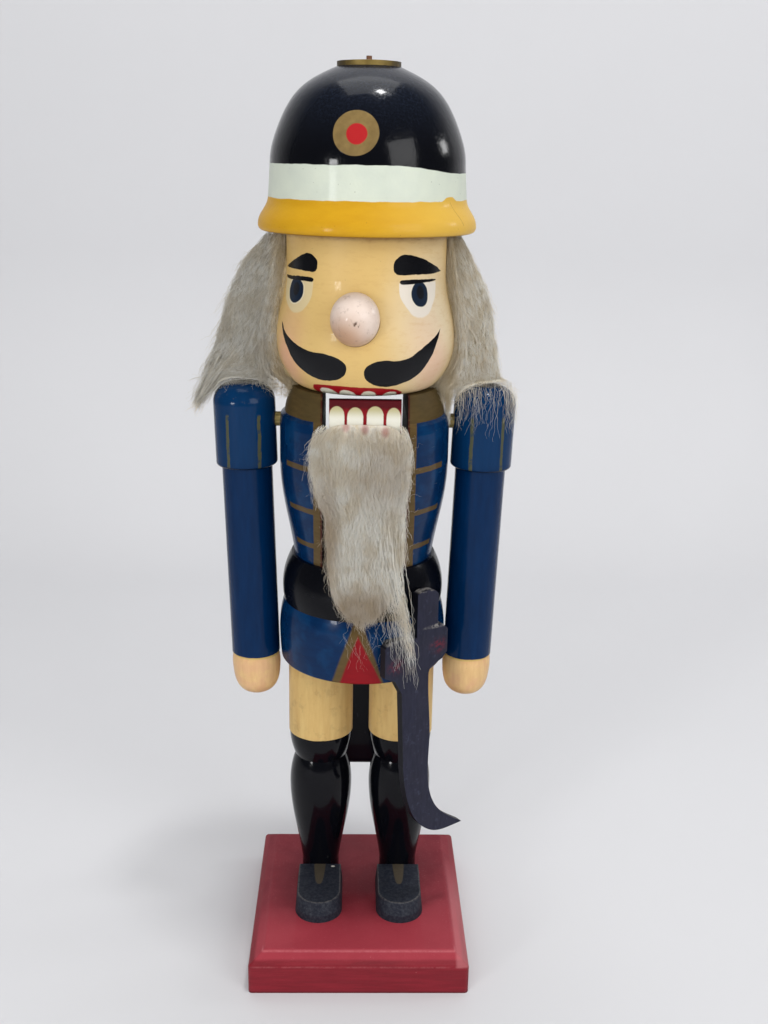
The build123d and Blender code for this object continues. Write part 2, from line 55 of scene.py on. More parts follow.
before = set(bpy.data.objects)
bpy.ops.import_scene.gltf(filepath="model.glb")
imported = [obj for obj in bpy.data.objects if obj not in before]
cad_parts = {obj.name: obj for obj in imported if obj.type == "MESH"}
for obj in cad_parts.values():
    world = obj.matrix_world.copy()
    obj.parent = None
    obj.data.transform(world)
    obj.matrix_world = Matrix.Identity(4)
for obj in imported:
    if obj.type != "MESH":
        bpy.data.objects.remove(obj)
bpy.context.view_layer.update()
MM = 0.001


def level(node, top=True):
    """The height in millimetres of a node's top or bottom."""
    low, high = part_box(node)
    return (high if top else low).z / MM


# Heights and places that the paint follows, read from the frame in millimetres
BASE_TOP = level("base")
SHOE_TOP = level("shoe_left")
SKIRT_HEM = level("torso", top=False)
TORSO_TOP = level("torso")
HELMET_FOOT = level("helmet", top=False)
JAW_TOP = level("lever")
JAW_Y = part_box("lever")[0].y / MM
SHOE_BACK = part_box("shoe_left")[1].y / MM
LEG_X = (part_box("leg_right")[0].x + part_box("leg_right")[1].x) / 2 / MM
NOSE_LOW, NOSE_HIGH = (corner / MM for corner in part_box("nose"))
NOSE_RADIUS = (NOSE_HIGH.x - NOSE_LOW.x) / 2

# Each shoulder cap's radius, and how far its axis lies below its top
CAP_RADIUS = 12.9
CAP_RISE = 15.4
SHOULDER_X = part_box("arm_right")[1].x / MM - CAP_RADIUS
SHOULDER_Z = level("arm_right") - CAP_RISE
# The belt on the turned body, and half the width of the slot that the lever stands in
BELT_FOOT = SKIRT_HEM + 27.2
BELT_TOP = SKIRT_HEM + 47.9
SLOT_HALF = 17.0


def paint_colour(red, green, blue):
    """A paint as mixed, 0 to 255 a channel, as the linear colour that a shader takes."""
    shares = [part / 255 for part in (red, green, blue)]
    return tuple(s / 12.92 if s <= 0.04045 else ((s + 0.055) / 1.055) ** 2.4 for s in shares)


def colour(name, description, *mixed):
    """A colour that a user may change."""
    return bpy.props.FloatVectorProperty(
        name=name, description=description, default=paint_colour(*mixed), size=3, min=0, max=1,
        subtype="COLOR",
    )


def size(name, description, millimetres):
    """A length that a user may change, kept in metres."""
    return bpy.props.FloatProperty(
        name=name, description=description, default=millimetres * MM, min=0, subtype="DISTANCE",
        unit="LENGTH",
    )


def count(name, description, number):
    """A number of like things that a user may change."""
    return bpy.props.IntProperty(name=name, description=description, default=number, min=1)


class NutcrackerColours(bpy.types.PropertyGroup):
    """The paints and materials of the figure."""

    black: colour("Black", "Gloss black of the helmet, boots and belt", 8, 9, 14)
    band: colour("Helmet band", "White band round the helmet", 214, 220, 202)
    brim: colour("Brim", "Yellow helmet brim", 212, 164, 34)
    gold: colour("Gold trim", "Dull gold of the collar and trim", 104, 84, 50)
    flesh: colour("Face", "Flesh paint of the face", 222, 190, 124)
    blush: colour("Blush", "Pink on the cheeks", 226, 168, 148)
    nose: colour("Nose", "Pale paint of the nose", 236, 220, 208)
    lip: colour("Lip", "Red of the lip", 166, 20, 30)
    jaw: colour("Jaw", "Dark red above the lower teeth", 74, 8, 16)
    teeth: colour("Teeth", "White of the teeth", 228, 226, 212)
    iris: colour("Iris", "Dark blue of the eyes", 12, 30, 50)
    eye_white: colour("Eye white", "White of the right eye", 228, 220, 208)
    eye_cream: colour("Eye cream", "Cream of the left eye", 218, 200, 156)
    jacket: colour("Jacket", "Blue of the jacket and sleeves", 3, 44, 86)
    skirt_red: colour("Skirt panel", "Red panel in the skirt", 140, 18, 26)
    trousers: colour("Trousers", "Cream of the trousers", 212, 182, 120)
    shoe: colour("Shoes", "Worn blue-black of the shoes", 26, 31, 44)
    tongue: colour("Shoe tongue", "Grey-brown mark on the shoes", 92, 82, 66)
    base: colour("Base", "Red of the base", 132, 30, 42)
    wood: colour("Bare wood", "Bare hardwood of the hands", 222, 186, 132)
    handle: colour("Lever", "Dark paint of the lever", 12, 13, 24)
    sword: colour("Sword", "Dark slate of the sword", 36, 38, 58)
    fleece: colour("Fur", "Pale grey of the hair and beard", 244, 239, 226)
    fleece_white: colour("Fur tips", "Near white of the palest strands", 244, 242, 234)
    # Painted shade: this grey-brown stands for the shade deep in the wool between the strands.
    fleece_depth_shade: colour("Fur depth", "Grey-brown of the wool between the strands", 172, 158, 132)
    fleece_tan: colour("Fur shade", "Tan of the darker strands", 212, 196, 162)
    hide: colour("Hide", "Brown hide that the fur grows from", 112, 74, 40)
    floor: colour("Floor", "Pale floor and backdrop", 214, 214, 216)


class NutcrackerSizes(bpy.types.PropertyGroup):
    """Sizes of the painted marks and the fur."""

    cockade: size("Cockade", "Radius of the gold ring on the helmet", 8.5)
    cockade_red: size("Cockade centre", "Radius of the red centre", 3.9)
    bar_width: size("Jacket bar", "Width of the gold bars on the jacket", 2.3)
    edging_width: size("Slot edging", "Width of the gold edging beside the slot", 3.5)
    strand: size("Strand", "Thickness of one strand of fur", 0.15)
    tuft_strands: count("Tuft", "Strands in one tuft; hair and beard are a few tufts each", 3700)
    lock_strands: count("Locks", "Strands in each loose lock of the hair", 450)
    wisp_strands: count("Wisps", "Long fine strands that leave the beard", 180)
    backdrop: size("Backdrop", "Distance from the figure to the backdrop", 700.0)


def maths(operation):
    """A method that adds one Math node to the material."""

    def method(self, *others):
        return self.paint.node("ShaderNodeMath", {"operation": operation}, (self, *others))

    return method


class Value:
    """A shader socket that takes part in sums."""

    def __init__(self, paint, socket):
        self.paint = paint
        self.socket = socket

    def __rsub__(self, other):
        return self.paint.node("ShaderNodeMath", {"operation": "SUBTRACT"}, (other, self))

    __add__ = __radd__ = maths("ADD")
    __sub__ = maths("SUBTRACT")
    __mul__ = __rmul__ = maths("MULTIPLY")
    __truediv__ = maths("DIVIDE")
    __abs__ = maths("ABSOLUTE")
    least = maths("MINIMUM")
    most = maths("MAXIMUM")
    root = maths("SQRT")
    angle_to = maths("ARCTAN2")


class Paint:
    """One material. Its nodes come from node(), and its maths is written on Values."""

    def __init__(self, name, ground):
        self.shade = ground
        self.material = bpy.data.materials.new(name)
        self.material.use_nodes = True
        self.nodes = self.material.node_tree.nodes
        self.links = self.material.node_tree.links
        self.nodes.clear()
        place = self.node("ShaderNodeTexCoord", output="Object")
        scaled = {0: place, "Scale": 1 / MM}
        self.place = self.node("ShaderNodeVectorMath", {"operation": "SCALE"}, scaled)
        self.x, self.y, self.z = (
            self.node("ShaderNodeSeparateXYZ", {}, (self.place,), axis) for axis in range(3)
        )

    def node(self, kind, settings=None, inputs=(), output=0):
        """A node with its settings made first, then its inputs; gives back one output."""
        made = self.nodes.new(kind)
        for name, value in (settings or {}).items():
            if name == "points":
                self.set_points(made.mapping, value)
            else:
                setattr(made, name, value)
        pairs = inputs.items() if isinstance(inputs, dict) else enumerate(inputs)
        for key, value in pairs:
            if isinstance(value, Value):
                self.links.new(value.socket, made.inputs[key])
            else:
                made.inputs[key].default_value = value
        return Value(self, made.outputs[output]) if made.outputs else None

    @staticmethod
    def set_points(mapping, dots):
        """The points of a curve, as (from, to) pairs from 0 to 1."""
        line = mapping.curves[0]
        while len(line.points) < len(dots):
            line.points.new(0.5, 0.5)
        for point, dot in zip(line.points, dots):
            point.location = dot
        mapping.update()

    def noise(self, feature, detail=2.0, roughness=0.5, stretch=(1, 1, 1)):
        """Noise from 0 to 1, whose features are about so many millimetres across."""
        place = self.place
        if stretch != (1, 1, 1):
            place = self.node("ShaderNodeVectorMath", {"operation": "MULTIPLY"}, (place, stretch))
        inputs = {"Vector": place, "Scale": 1 / feature, "Detail": detail, "Roughness": roughness}
        return self.node("ShaderNodeTexNoise", {}, inputs)

    def wander(self, feature, reach, detail=2.0):
        """A slow unevenness of about half the reach to either side."""
        return (self.noise(feature, detail) - 0.5) * reach

    def patches(self, feature, detail, roughness, edge, soft):
        """1 in scattered patches, where a noise is above its edge."""
        return self.above(self.noise(feature, detail, roughness), edge, soft)

    def specks(self, spacing, radius):
        """Round specks, one in each cell of so many millimetres."""
        inputs = {"Vector": self.place, "Scale": 1 / spacing}
        gap = self.node("ShaderNodeTexVoronoi", {}, inputs, "Distance")
        return self.below(gap * spacing, radius, radius * 0.3)

    def above(self, value, edge, soft=0.12):
        """1 where value is above edge, 0 below it, with a soft step."""
        inputs = (value - edge, -soft, soft, 0.0, 1.0)
        return self.node("ShaderNodeMapRange", {"interpolation_type": "SMOOTHSTEP"}, inputs)

    def below(self, value, edge, soft=0.12):
        """1 where value is below edge."""
        return 1 - self.above(value, edge, soft)

    def between(self, value, low, high, soft=0.12):
        """1 where value lies between low and high."""
        return self.above(value, low, soft) * self.below(value, high, soft)

    def mix(self, under, over, mask):
        """Colour over on top of colour under where the mask is 1."""
        ends = {6: self.rgba(under), 7: self.rgba(over), 0: mask}
        return self.node("ShaderNodeMix", {"data_type": "RGBA"}, ends, 2)

    def over(self, hue, mask):
        """Lays one more colour over all that is painted so far."""
        self.shade = self.mix(self.shade, hue, mask)

    @staticmethod
    def rgba(hue):
        """What a colour socket takes: a link, a user's colour, or a plain tuple as mixed."""
        if isinstance(hue, Value):
            return hue
        return (*(paint_colour(*hue) if isinstance(hue, tuple) else hue), 1.0)

    def azimuth(self):
        """Degrees round the turning axis, from the front, growing towards +X."""
        return self.x.angle_to(self.y * -1) * math.degrees(1)

    def length(self, *parts):
        """The length of a vector with these parts."""
        total = parts[0] * parts[0]
        for part in parts[1:]:
            total = total + part * part
        return total.root()

    def oval(self, across, up, centre, half_width, half_height):
        """0 in the middle of an ellipse and 1 on its edge."""
        return self.length((across - centre[0]) / half_width, (up - centre[1]) / half_height)

    def ellipse(self, across, up, centre, half_width, half_height):
        """Above 0 outside an ellipse, below 0 inside, in about the ellipse's own units."""
        out = self.oval(across, up, centre, half_width, half_height)
        return (out - 1) * min(half_width, half_height)

    def curve(self, value, points):
        """A smooth line through (value, result) points, level past its ends."""
        starts, results = zip(*points)
        span, foot = starts[-1] - starts[0], min(results)
        rise = max(results) - foot + 0.001
        dots = [((start - starts[0]) / span, (result - foot) / rise) for start, result in points]
        share = (value - starts[0]) / span
        return self.node("ShaderNodeFloatCurve", {"points": dots}, {"Value": share}) * rise + foot

    def patch(self, across, up, top, foot, soft=0.13):
        """1 between two smooth lines of (across, up) points."""
        above_foot = self.above(up, self.curve(across, foot), soft)
        inside = above_foot * self.below(up, self.curve(across, top), soft)
        return inside * self.between(across, top[0][0], top[-1][0], 0.25)

    def spot(self, across, up, centre, half_width, half_height, soft=0.5):
        """1 in the middle of an ellipse, fading to 0 towards its edge and beyond."""
        return self.below(self.oval(across, up, centre, half_width, half_height), 1.0, soft)

    def stroke(self, across, up, points):
        """Signed distance to a brush stroke through (across, up, radius) points."""
        nearest = None
        for (x0, z0, r0), (x1, z1, r1) in zip(points, points[1:]):
            run, rise = x1 - x0, z1 - z0
            along = ((across - x0) * run + (up - z0) * rise) / (run * run + rise * rise)
            along = along.most(0.0).least(1.0)
            gap = self.length(across - x0 - along * run, up - z0 - along * rise)
            gap = gap - r0 - along * (r1 - r0)
            nearest = gap if nearest is None else nearest.least(gap)
        return nearest

    def grubby(self, darkness, feature):
        """Slow changes of tone that age gives a painted surface."""
        self.over((38.7, 32.7, 25.5), self.noise(feature, 3.0, 0.55) * darkness)

    def brushed(self, depth=0.02, feature=1.2, upright=False):
        """Height of brushed gloss paint on turned wood: fine ripples, long round it or upright."""
        stretch = (1.0, 1.0, 0.12) if upright else (0.25, 0.25, 1.6)
        strokes = self.noise(feature, 3.0, 0.6, stretch)
        return (strokes - 0.5) * depth + self.wander(2.6, depth * 1.6)

    def finish(self, roughness, height=None, coat=0.0, metallic=0.0, sheen=0.0, specular=0.1):
        """Ends the material in one Principled surface. Height is in millimetres."""
        inputs = {
            "Base Color": self.rgba(self.shade),
            "Roughness": roughness,
            "Coat Weight": coat,
            "Coat Roughness": 0.06,
            "Metallic": metallic,
            "Sheen Weight": sheen,
            "Specular IOR Level": specular,
        }
        if height is not None:
            depth = {"Strength": 1.0, "Distance": MM, "Height": height}
            inputs["Normal"] = self.node("ShaderNodeBump", {}, depth)
        surface = self.node("ShaderNodeBsdfPrincipled", {}, inputs)
        self.node("ShaderNodeOutputMaterial", {}, {"Surface": surface})
        return self.material


def dress(material, *nodes):
    """Gives CAD nodes their finish."""
    for name in nodes:
        for material_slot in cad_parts[name].material_slots:
            material_slot.material = material


def colours():
    """The colours that the user has set."""
    return bpy.context.scene.nutcracker_colours


def sizes():
    """The sizes that the user has set."""
    return bpy.context.scene.nutcracker_sizes


def base_paint():
    """Satin red, brushed along the sides, dusty on top and rubbed pale along the bevel, with
    painted light on the front of the top, painted highlights on the bevel and painted shade along
    the foot.
    """
    paint = Paint("base_red", colours().base)
    low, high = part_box("base")
    top = paint.above(paint.z, BASE_TOP - 2.6, 0.5)
    brushing = paint.noise(2.2, 5.0, 0.7, (0.1, 0.1, 1.6))
    paint.over((96, 16, 26), paint.above(brushing, 0.5, 0.2) * 0.6)
    paint.over((150, 54, 60), paint.above(brushing, 0.66, 0.08) * 0.35)
    tone = paint.noise(26.0, 4.0, 0.6)
    dusty = paint.mix((116, 30, 42), (136, 46, 56), paint.above(tone, 0.5, 0.18))
    paint.over(dusty, top * 0.85)
    grain = paint.noise(0.7, 4.0, 0.75)
    paint.over((190, 110, 116), paint.above(grain, 0.64, 0.05) * (top * 0.3 + 0.05))
    side_edge = paint.above(abs(paint.x) - high.x / MM, -0.4, 0.35)
    corner = side_edge * paint.below(paint.y - low.y / MM, 0.4, 0.35)
    ahead = paint.below(paint.y, low.y / MM + 9.0, 2.0)
    bevel_foot = paint.between(paint.z, BASE_TOP - 4.8, BASE_TOP - 4.2, 0.25)
    bevel_top = paint.between(paint.z, BASE_TOP - 0.75, BASE_TOP - 0.4, 0.3)
    rub = paint.patches(2.0, 5.0, 0.7, 0.47, 0.16)
    # Painted light: the front of the top is paler, as light falls on it.
    painted_light_front = paint.below(paint.y, -26.0, 22.0) * top
    paint.over((184, 66, 78), painted_light_front * 0.45)
    # Painted highlight: the right bevel is paler towards the front, where light from the right
    # shines on it.
    on_bevel = paint.between(paint.z, BASE_TOP - 4.6, BASE_TOP - 0.4, 0.5)
    right_bevel_highlight = paint.above(paint.x, high.x / MM - 5.4, 0.8) * on_bevel
    paint.over((216, 140, 144), right_bevel_highlight * paint.below(paint.y, 4.0, 26.0) * 0.3)
    lines = corner * rub * 0.4 + bevel_foot * rub * 0.14
    paint.over((204, 140, 142), lines)
    # A pale line along the top of the bevel, brightest at the front: partly rubbed paint, partly a
    # painted highlight on the rounded edge.
    edge_wear_and_highlight = bevel_top * (rub * 0.6 + 0.4) * (ahead * 0.5 + 0.03)
    paint.over((206, 124, 130), edge_wear_and_highlight)
    specks = paint.specks(7.5, 0.2) * paint.patches(12.0, 2.0, 0.5, 0.55, 0.08)
    paint.over((220, 180, 176), specks * 0.5)
    # Painted shade: darker along the foot, where the base meets the floor.
    foot = paint.below(paint.z, 0.8, 0.5)
    paint.over((70, 12, 20), foot * 0.6)
    roughness = 0.42 + top * 0.18 + paint.noise(8.0, 3.0) * 0.1
    return paint.finish(roughness, paint.brushed(0.03) + brushing * 0.05, coat=0.08, specular=0.2)


def shoe_paint():
    """Dusty blue-black toes with thin rubbed edges that carry a painted highlight, and a grey-brown
    tongue mark at the back.
    """
    paint = Paint("shoe_black", colours().shoe)
    across = abs(paint.x) - LEG_X
    dust = paint.noise(1.3, 5.0, 0.75)
    paint.grubby(0.25, 9.0)
    paint.over((82, 86, 92), paint.above(dust, 0.54, 0.14) * 0.3)
    on_top = paint.above(paint.z, SHOE_TOP - 0.35, 0.2)
    half_shoe, ball = 9.6, -21.9
    nearest_side = abs(across) - half_shoe
    toe = paint.length(across, paint.y - ball) - half_shoe
    past_ball = paint.below(paint.y, ball, 0.2)
    rim = nearest_side + (toe - nearest_side) * past_ball
    # A pale broken line round the top's rim: partly rubbed paint, partly a painted highlight on the
    # rounded edge.
    rim_wear_and_highlight = paint.between(rim, -0.5, 0.1, 0.2) * paint.above(paint.z, SHOE_TOP - 0.9, 0.3)
    paint.over((104, 102, 100), rim_wear_and_highlight * paint.above(dust, 0.44, 0.14) * 0.55)
    outline = ((0.0, 2.7), (6.0, 2.35), (11.0, 1.9), (14.4, 1.3), (15.9, 0.0))
    half_width = paint.curve(SHOE_BACK - paint.y, outline)
    tongue = paint.below(abs(across - 0.1), half_width, 0.25) * on_top
    paint.over(paint.mix(colours().tongue, (64, 58, 48), dust), tongue * 0.9)
    chip = paint.spot(paint.x, paint.y, (-12.2, -3.2), 0.9, 0.55, 0.3) * on_top
    paint.over((214, 210, 200), chip)
    return paint.finish(0.5 + dust * 0.15, paint.brushed(0.04, 0.8), specular=0.2)


def leg_paint():
    """Cream trousers above gloss black boots, divided by a hand-painted line, with painted shade
    under the skirt's hem.
    """
    paint = Paint("trousers_and_boots", colours().trousers)
    boot_top = BASE_TOP + 75.2 + paint.wander(7.0, 1.4)
    boots = paint.below(paint.z, boot_top, 0.12)
    grain = paint.noise(3.0, 5.0, 0.65, (1, 1, 0.14))
    paint.over((186, 146, 88), paint.above(grain, 0.5, 0.25) * 0.55)
    smudge = paint.patches(5.0, 4.0, 0.7, 0.6, 0.08)
    paint.over((132, 102, 68), smudge * 0.22)
    # Painted shade: the trousers are darker just under the skirt's hem.
    painted_shade_under_hem = paint.above(paint.z, SKIRT_HEM - 5.0, 5.0)
    paint.over((120, 88, 52), painted_shade_under_hem * 0.35)
    scuff = paint.patches(3.0, 5.0, 0.7, 0.68, 0.03)
    black = paint.mix(colours().black, (30, 28, 30), scuff * 0.35)
    paint.over(black, boots)
    roughness = 0.45 - boots * 0.31
    return paint.finish(roughness, paint.brushed(0.02) + boots * 0.05, coat=boots * 0.16)


def torso_paint():
    """Blue jacket with gold collar, bars and edging, black belt, skirt with a red panel."""
    hues = colours()
    paint = Paint("uniform", hues.jacket)
    round_ = paint.azimuth()
    ripple = paint.noise(6.0, 2.0) - 0.5
    streaks = paint.noise(2.0, 4.0, 0.65, (0.3, 0.3, 1.5))
    collar_foot = TORSO_TOP - 10.6
    paint.over((1, 24, 54), streaks * 0.8)
    paint.over((12, 66, 110), paint.patches(9.0, 3.0, 0.5, 0.56, 0.1) * 0.35)
    gold = paint.mix(hues.gold, (58, 46, 26), streaks * 0.8)

    front = paint.below(paint.y, -4.0, 0.5)
    half_bar = sizes().bar_width / MM / 2
    for height in (90.4, 72.4, 56.6):
        middle = SKIRT_HEM + height + ripple * 0.9
        bar = paint.below(abs(paint.z - middle), half_bar, 0.2)
        bar = bar * paint.below(abs(round_), 64.0, 0.6)
        paint.over(gold, bar * front * paint.above(streaks, 0.22, 0.1) * 0.95)
    edging_edge = SLOT_HALF + sizes().edging_width / MM
    edging = paint.below(abs(paint.x) + ripple * 0.5, edging_edge, 0.2) * front
    paint.over(gold, edging * paint.above(paint.z, BELT_TOP, 0.3))

    belt = paint.between(paint.z, BELT_FOOT, BELT_TOP, 0.15)
    rub = paint.patches(3.0, 5.0, 0.7, 0.64, 0.05)
    paint.over(paint.mix(hues.black, (28, 28, 34), rub * 0.5), belt)

    rise = paint.z - SKIRT_HEM
    below_belt = paint.below(paint.z, BELT_FOOT, 0.1) * front
    border = paint.below(abs(round_ + 3.0) + ripple, (rise * -1 + 25.9) * 0.55 + 3.7, 1.0)
    paint.over(gold, border * below_belt)
    panel = paint.below(abs(round_ + rise * 0.096 + 0.9) + ripple, (rise * -1 + 21.9) * 0.667, 1.0)
    red = paint.mix(hues.skirt_red, (92, 8, 20), streaks * 0.6)
    paint.over(red, panel * below_belt)

    collar = paint.above(paint.z + ripple * 0.4, collar_foot, 0.15)
    paint.over(paint.mix(gold, (52, 50, 32), paint.noise(8.0, 4.0) * 0.6), collar)

    inside = paint.below(abs(paint.x), SLOT_HALF + 0.03, 0.03)
    inside = inside * paint.above(paint.z, BELT_TOP + 0.2, 0.1)
    stain = paint.patches(5.0, 4.0, 0.7, 0.5, 0.12)
    paint.over(paint.mix((44, 4, 10), (12, 4, 8), stain), inside)
    edge = paint.between(abs(paint.x), SLOT_HALF - 0.2, SLOT_HALF + 0.7, 0.2)
    edge = edge * front * paint.above(paint.z, BELT_TOP, 0.3)
    paint.over((62, 10, 16), edge * paint.above(streaks, 0.4, 0.1) * 0.8)
    roughness = 0.18 + streaks * 0.14 + collar * 0.25 + inside * 0.4
    coat = (1 - collar) * (1 - inside) * 0.16
    return paint.finish(roughness, paint.brushed(0.03, 1.4), coat=coat, specular=0.08)


# Edges of the painted face, as (degrees round the head, millimetres above the collar) points
LEFT_BROW = (
    (
        (-75.0, 48.5), (-68.6, 49.9), (-62.0, 51.3), (-55.5, 52.8), (-49.0, 54.2), (-43.8, 54.8),
        (-38.6, 53.7), (-35.8, 50.9),
    ),
    (
        (-75.0, 48.5), (-68.0, 48.2), (-55.6, 48.1), (-46.4, 47.9), (-39.6, 47.8), (-36.8, 48.8),
        (-35.8, 50.9),
    ),
)
RIGHT_BROW = (
    ((17.9, 50.6), (20.6, 53.7), (25.8, 55.1), (36.3, 54.2), (49.2, 51.7), (63.6, 48.0)),
    ((17.9, 50.6), (19.4, 48.3), (23.0, 47.5), (33.4, 47.5), (49.6, 47.4), (63.6, 48.0)),
)
LEFT_LASH = (
    ((-77.0, 44.6), (-74.0, 45.2), (-68.8, 45.2), (-53.1, 45.7), (-44.4, 45.8), (-39.0, 45.0)),
    (
        (-77.0, 44.6), (-74.0, 44.0), (-67.9, 43.9), (-55.2, 44.0), (-47.2, 44.1), (-41.0, 44.0),
        (-39.0, 45.0),
    ),
)
RIGHT_LASH = (
    ((22.6, 44.9), (25.5, 45.7), (40.0, 45.6), (53.0, 45.4), (55.9, 45.0)),
    ((22.6, 44.9), (25.5, 43.9), (40.0, 44.2), (53.0, 44.6), (55.9, 45.0)),
)
LEFT_MOUSTACHE = (
    (
        (-69.1, 27.4), (-66.0, 26.2), (-62.6, 24.2), (-53.9, 21.4), (-44.5, 19.2), (-36.2, 18.0),
        (-24.9, 17.5), (-15.7, 15.6), (-12.2, 12.0),
    ),
    (
        (-69.1, 27.4), (-66.0, 24.2), (-62.6, 21.2), (-58.7, 18.2), (-50.1, 11.6), (-38.3, 7.6),
        (-28.0, 6.6), (-16.8, 8.2), (-12.2, 12.0),
    ),
)
RIGHT_MOUSTACHE = (
    (
        (-1.2, 10.4), (2.1, 14.2), (10.2, 15.8), (19.4, 15.5), (27.2, 16.5), (35.1, 19.3),
        (43.8, 22.3), (49.0, 24.2), (53.9, 26.4),
    ),
    (
        (-1.2, 10.4), (1.6, 7.1), (11.9, 4.8), (23.3, 5.5), (35.4, 8.7), (43.3, 14.6),
        (48.5, 20.2), (51.5, 23.6), (53.9, 26.4),
    ),
)
LEFT_WHITE = (
    ((-76.0, 44.4), (-39.2, 44.4)),
    ((-76.0, 42.4), (-74.6, 39.0), (-64.6, 34.0), (-51.6, 31.8), (-42.2, 35.4), (-39.2, 43.6)),
)
RIGHT_WHITE = (
    ((22.0, 44.4), (55.6, 44.4)),
    ((22.0, 43.0), (25.8, 36.2), (36.7, 31.4), (49.5, 35.9), (55.6, 43.0)),
)
UPPER_LIP = (
    (
        (-44.9, 0.6), (-43.0, 3.0), (-38.5, 4.3), (-22.0, 4.7), (-5.6, 4.5), (14.0, 4.0),
        (24.5, 3.0), (30.0, 0.6),
    ),
    ((-44.9, 0.3), (30.0, 0.3)),
)


def face_paint():
    """Flesh paint with brows, eyes, moustache, blush, and the upper lip with its teeth."""
    hues = colours()
    paint = Paint("face", hues.flesh)
    round_ = paint.azimuth() + paint.wander(2.6, 0.9)
    up = paint.z - TORSO_TOP + paint.wander(2.3, 0.5)

    glow = paint.noise(16.0, 3.0)
    paint.over((206, 166, 98), glow * 0.55)
    lit = paint.spot(round_, up, (48.0, 26.0), 26.0, 28.0, 0.9)
    paint.over((228, 216, 192), lit * 0.7)
    brushing = paint.noise(2.0, 4.0, 0.7, (0.4, 0.4, 1.2))
    paint.over((198, 156, 96), paint.above(brushing, 0.58, 0.1) * 0.22)
    pores = paint.specks(3.6, 0.13) * paint.patches(12.0, 2.0, 0.5, 0.47, 0.1)
    paint.over((112, 76, 46), pores * 0.7)
    for turn, height, strength in (
        (-62.0, 12.5, 0.6), (-56.0, 25.0, 0.25), (50.0, 11.0, 0.4), (40.0, 24.0, 0.2),
    ):
        blush = paint.spot(round_, up, (turn, height), 13.0, 9.0, 0.8)
        paint.over(hues.blush, blush * strength)

    for outline, turn, half, white in (
        (LEFT_WHITE, -57.0, 9.1, hues.eye_cream),
        (RIGHT_WHITE, 38.4, 7.3, hues.eye_white),
    ):
        paint.over(white, paint.patch(round_, up, *outline, 0.45) * 0.9)
        iris = paint.ellipse(round_, up, (turn, 40.1), half, 4.75)
        paint.over((230, 224, 204), paint.between(iris, 0.0, 0.45, 0.3) * 0.7)
        paint.over(hues.iris, paint.below(iris, 0.0, 0.2) * paint.below(up, 44.4, 0.2))
        pupil = paint.ellipse(round_, up, (turn + 0.5, 40.7), half * 0.43, 2.6)
        paint.over(hues.black, paint.below(pupil, 0.0, 0.4) * 0.9)

    ink = 0.0
    for outline in (LEFT_BROW, RIGHT_BROW, LEFT_LASH, RIGHT_LASH, LEFT_MOUSTACHE, RIGHT_MOUSTACHE):
        ink = paint.patch(round_, up, *outline).most(ink)
    paint.over(hues.black, ink)

    lip = paint.patch(round_, up, *UPPER_LIP, 0.2)
    paint.over(paint.mix(hues.lip, (110, 8, 18), paint.noise(2.0, 3.0) * 0.6), lip)
    for turn, half, top in (
        (-31.0, 8.3, 3.2), (-14.8, 7.1, 3.0), (2.5, 6.4, 2.8), (20.0, 6.2, 2.4),
    ):
        tooth = paint.ellipse(round_, up, (turn, 0.0), half, top)
        ivory = paint.mix(hues.teeth, (182, 172, 122), paint.noise(2.4, 3.0) * 0.6)
        paint.over(ivory, paint.below(tooth, 0.0, 0.25) * lip)

    bend = paint.above(up * -1, -40.0, 34.0) * 2.0
    turned = paint.azimuth().most(paint.azimuth() * -1 - 3.0) + paint.wander(5.0, 1.2, 3.0)
    seam = paint.between(turned - bend, 76.3, 77.5, 0.4)
    paint.over(hues.hide, seam * paint.patches(1.6, 4.0, 0.5, 0.34, 0.2) * 0.9)
    skin = paint.mix(hues.fleece_tan, hues.fleece, paint.noise(3.0, 3.0))
    paint.over(skin, paint.above(turned - bend, 77.6, 0.4))
    top_dirt = paint.above(up + (brushing - 0.5) * 2.0, HELMET_FOOT - TORSO_TOP - 1.4, 1.3)
    paint.over((116, 70, 38), top_dirt * 0.65)
    paint.grubby(0.08, 18.0)
    height = paint.brushed(0.018, 1.6) + ink * 0.04 + lip * 0.04 - pores * 0.02
    return paint.finish(0.38 - ink * 0.14, height, coat=0.1, specular=0.15)


def nose_paint():
    """Pale rubbed paint with brown painted shade low down and to the left, and a small scratched
    mark in front.
    """
    paint = Paint("nose_knob", colours().nose)
    x, z = NOSE_LOW.x + NOSE_RADIUS, (NOSE_LOW.z + NOSE_HIGH.z) / 2
    paint.over((196, 170, 152), paint.noise(4.0, 4.0, 0.6) * 0.5)
    # Painted shade: brown towards the lower left and along the bottom of the knob.
    painted_shade_low_left = paint.spot(paint.x, paint.z, (x - 5.0, z - 6.5), 8.0, 7.0, 0.8)
    paint.over((172, 128, 92), painted_shade_low_left * 0.8)
    low = paint.below(paint.z, z - 6.0, 3.5)
    paint.over((186, 144, 108), low * 0.45)
    rub = paint.patches(2.4, 5.0, 0.7, 0.6, 0.06)
    paint.over((150, 124, 108), rub * 0.35)
    away = paint.length(paint.x - x - 0.6, paint.z - z + 0.8)
    lines = paint.noise(0.8, 3.0, 0.6, (1, 1, 0.4))
    scratch = paint.below(away, 1.1, 0.5) * paint.above(lines, 0.5, 0.05)
    front = paint.below(paint.y, NOSE_LOW.y + NOSE_RADIUS, 0.5)
    paint.over((84, 62, 48), scratch * front * 0.9)
    return paint.finish(0.34, paint.brushed(0.02, 1.0) - scratch * 0.08, coat=0.2)


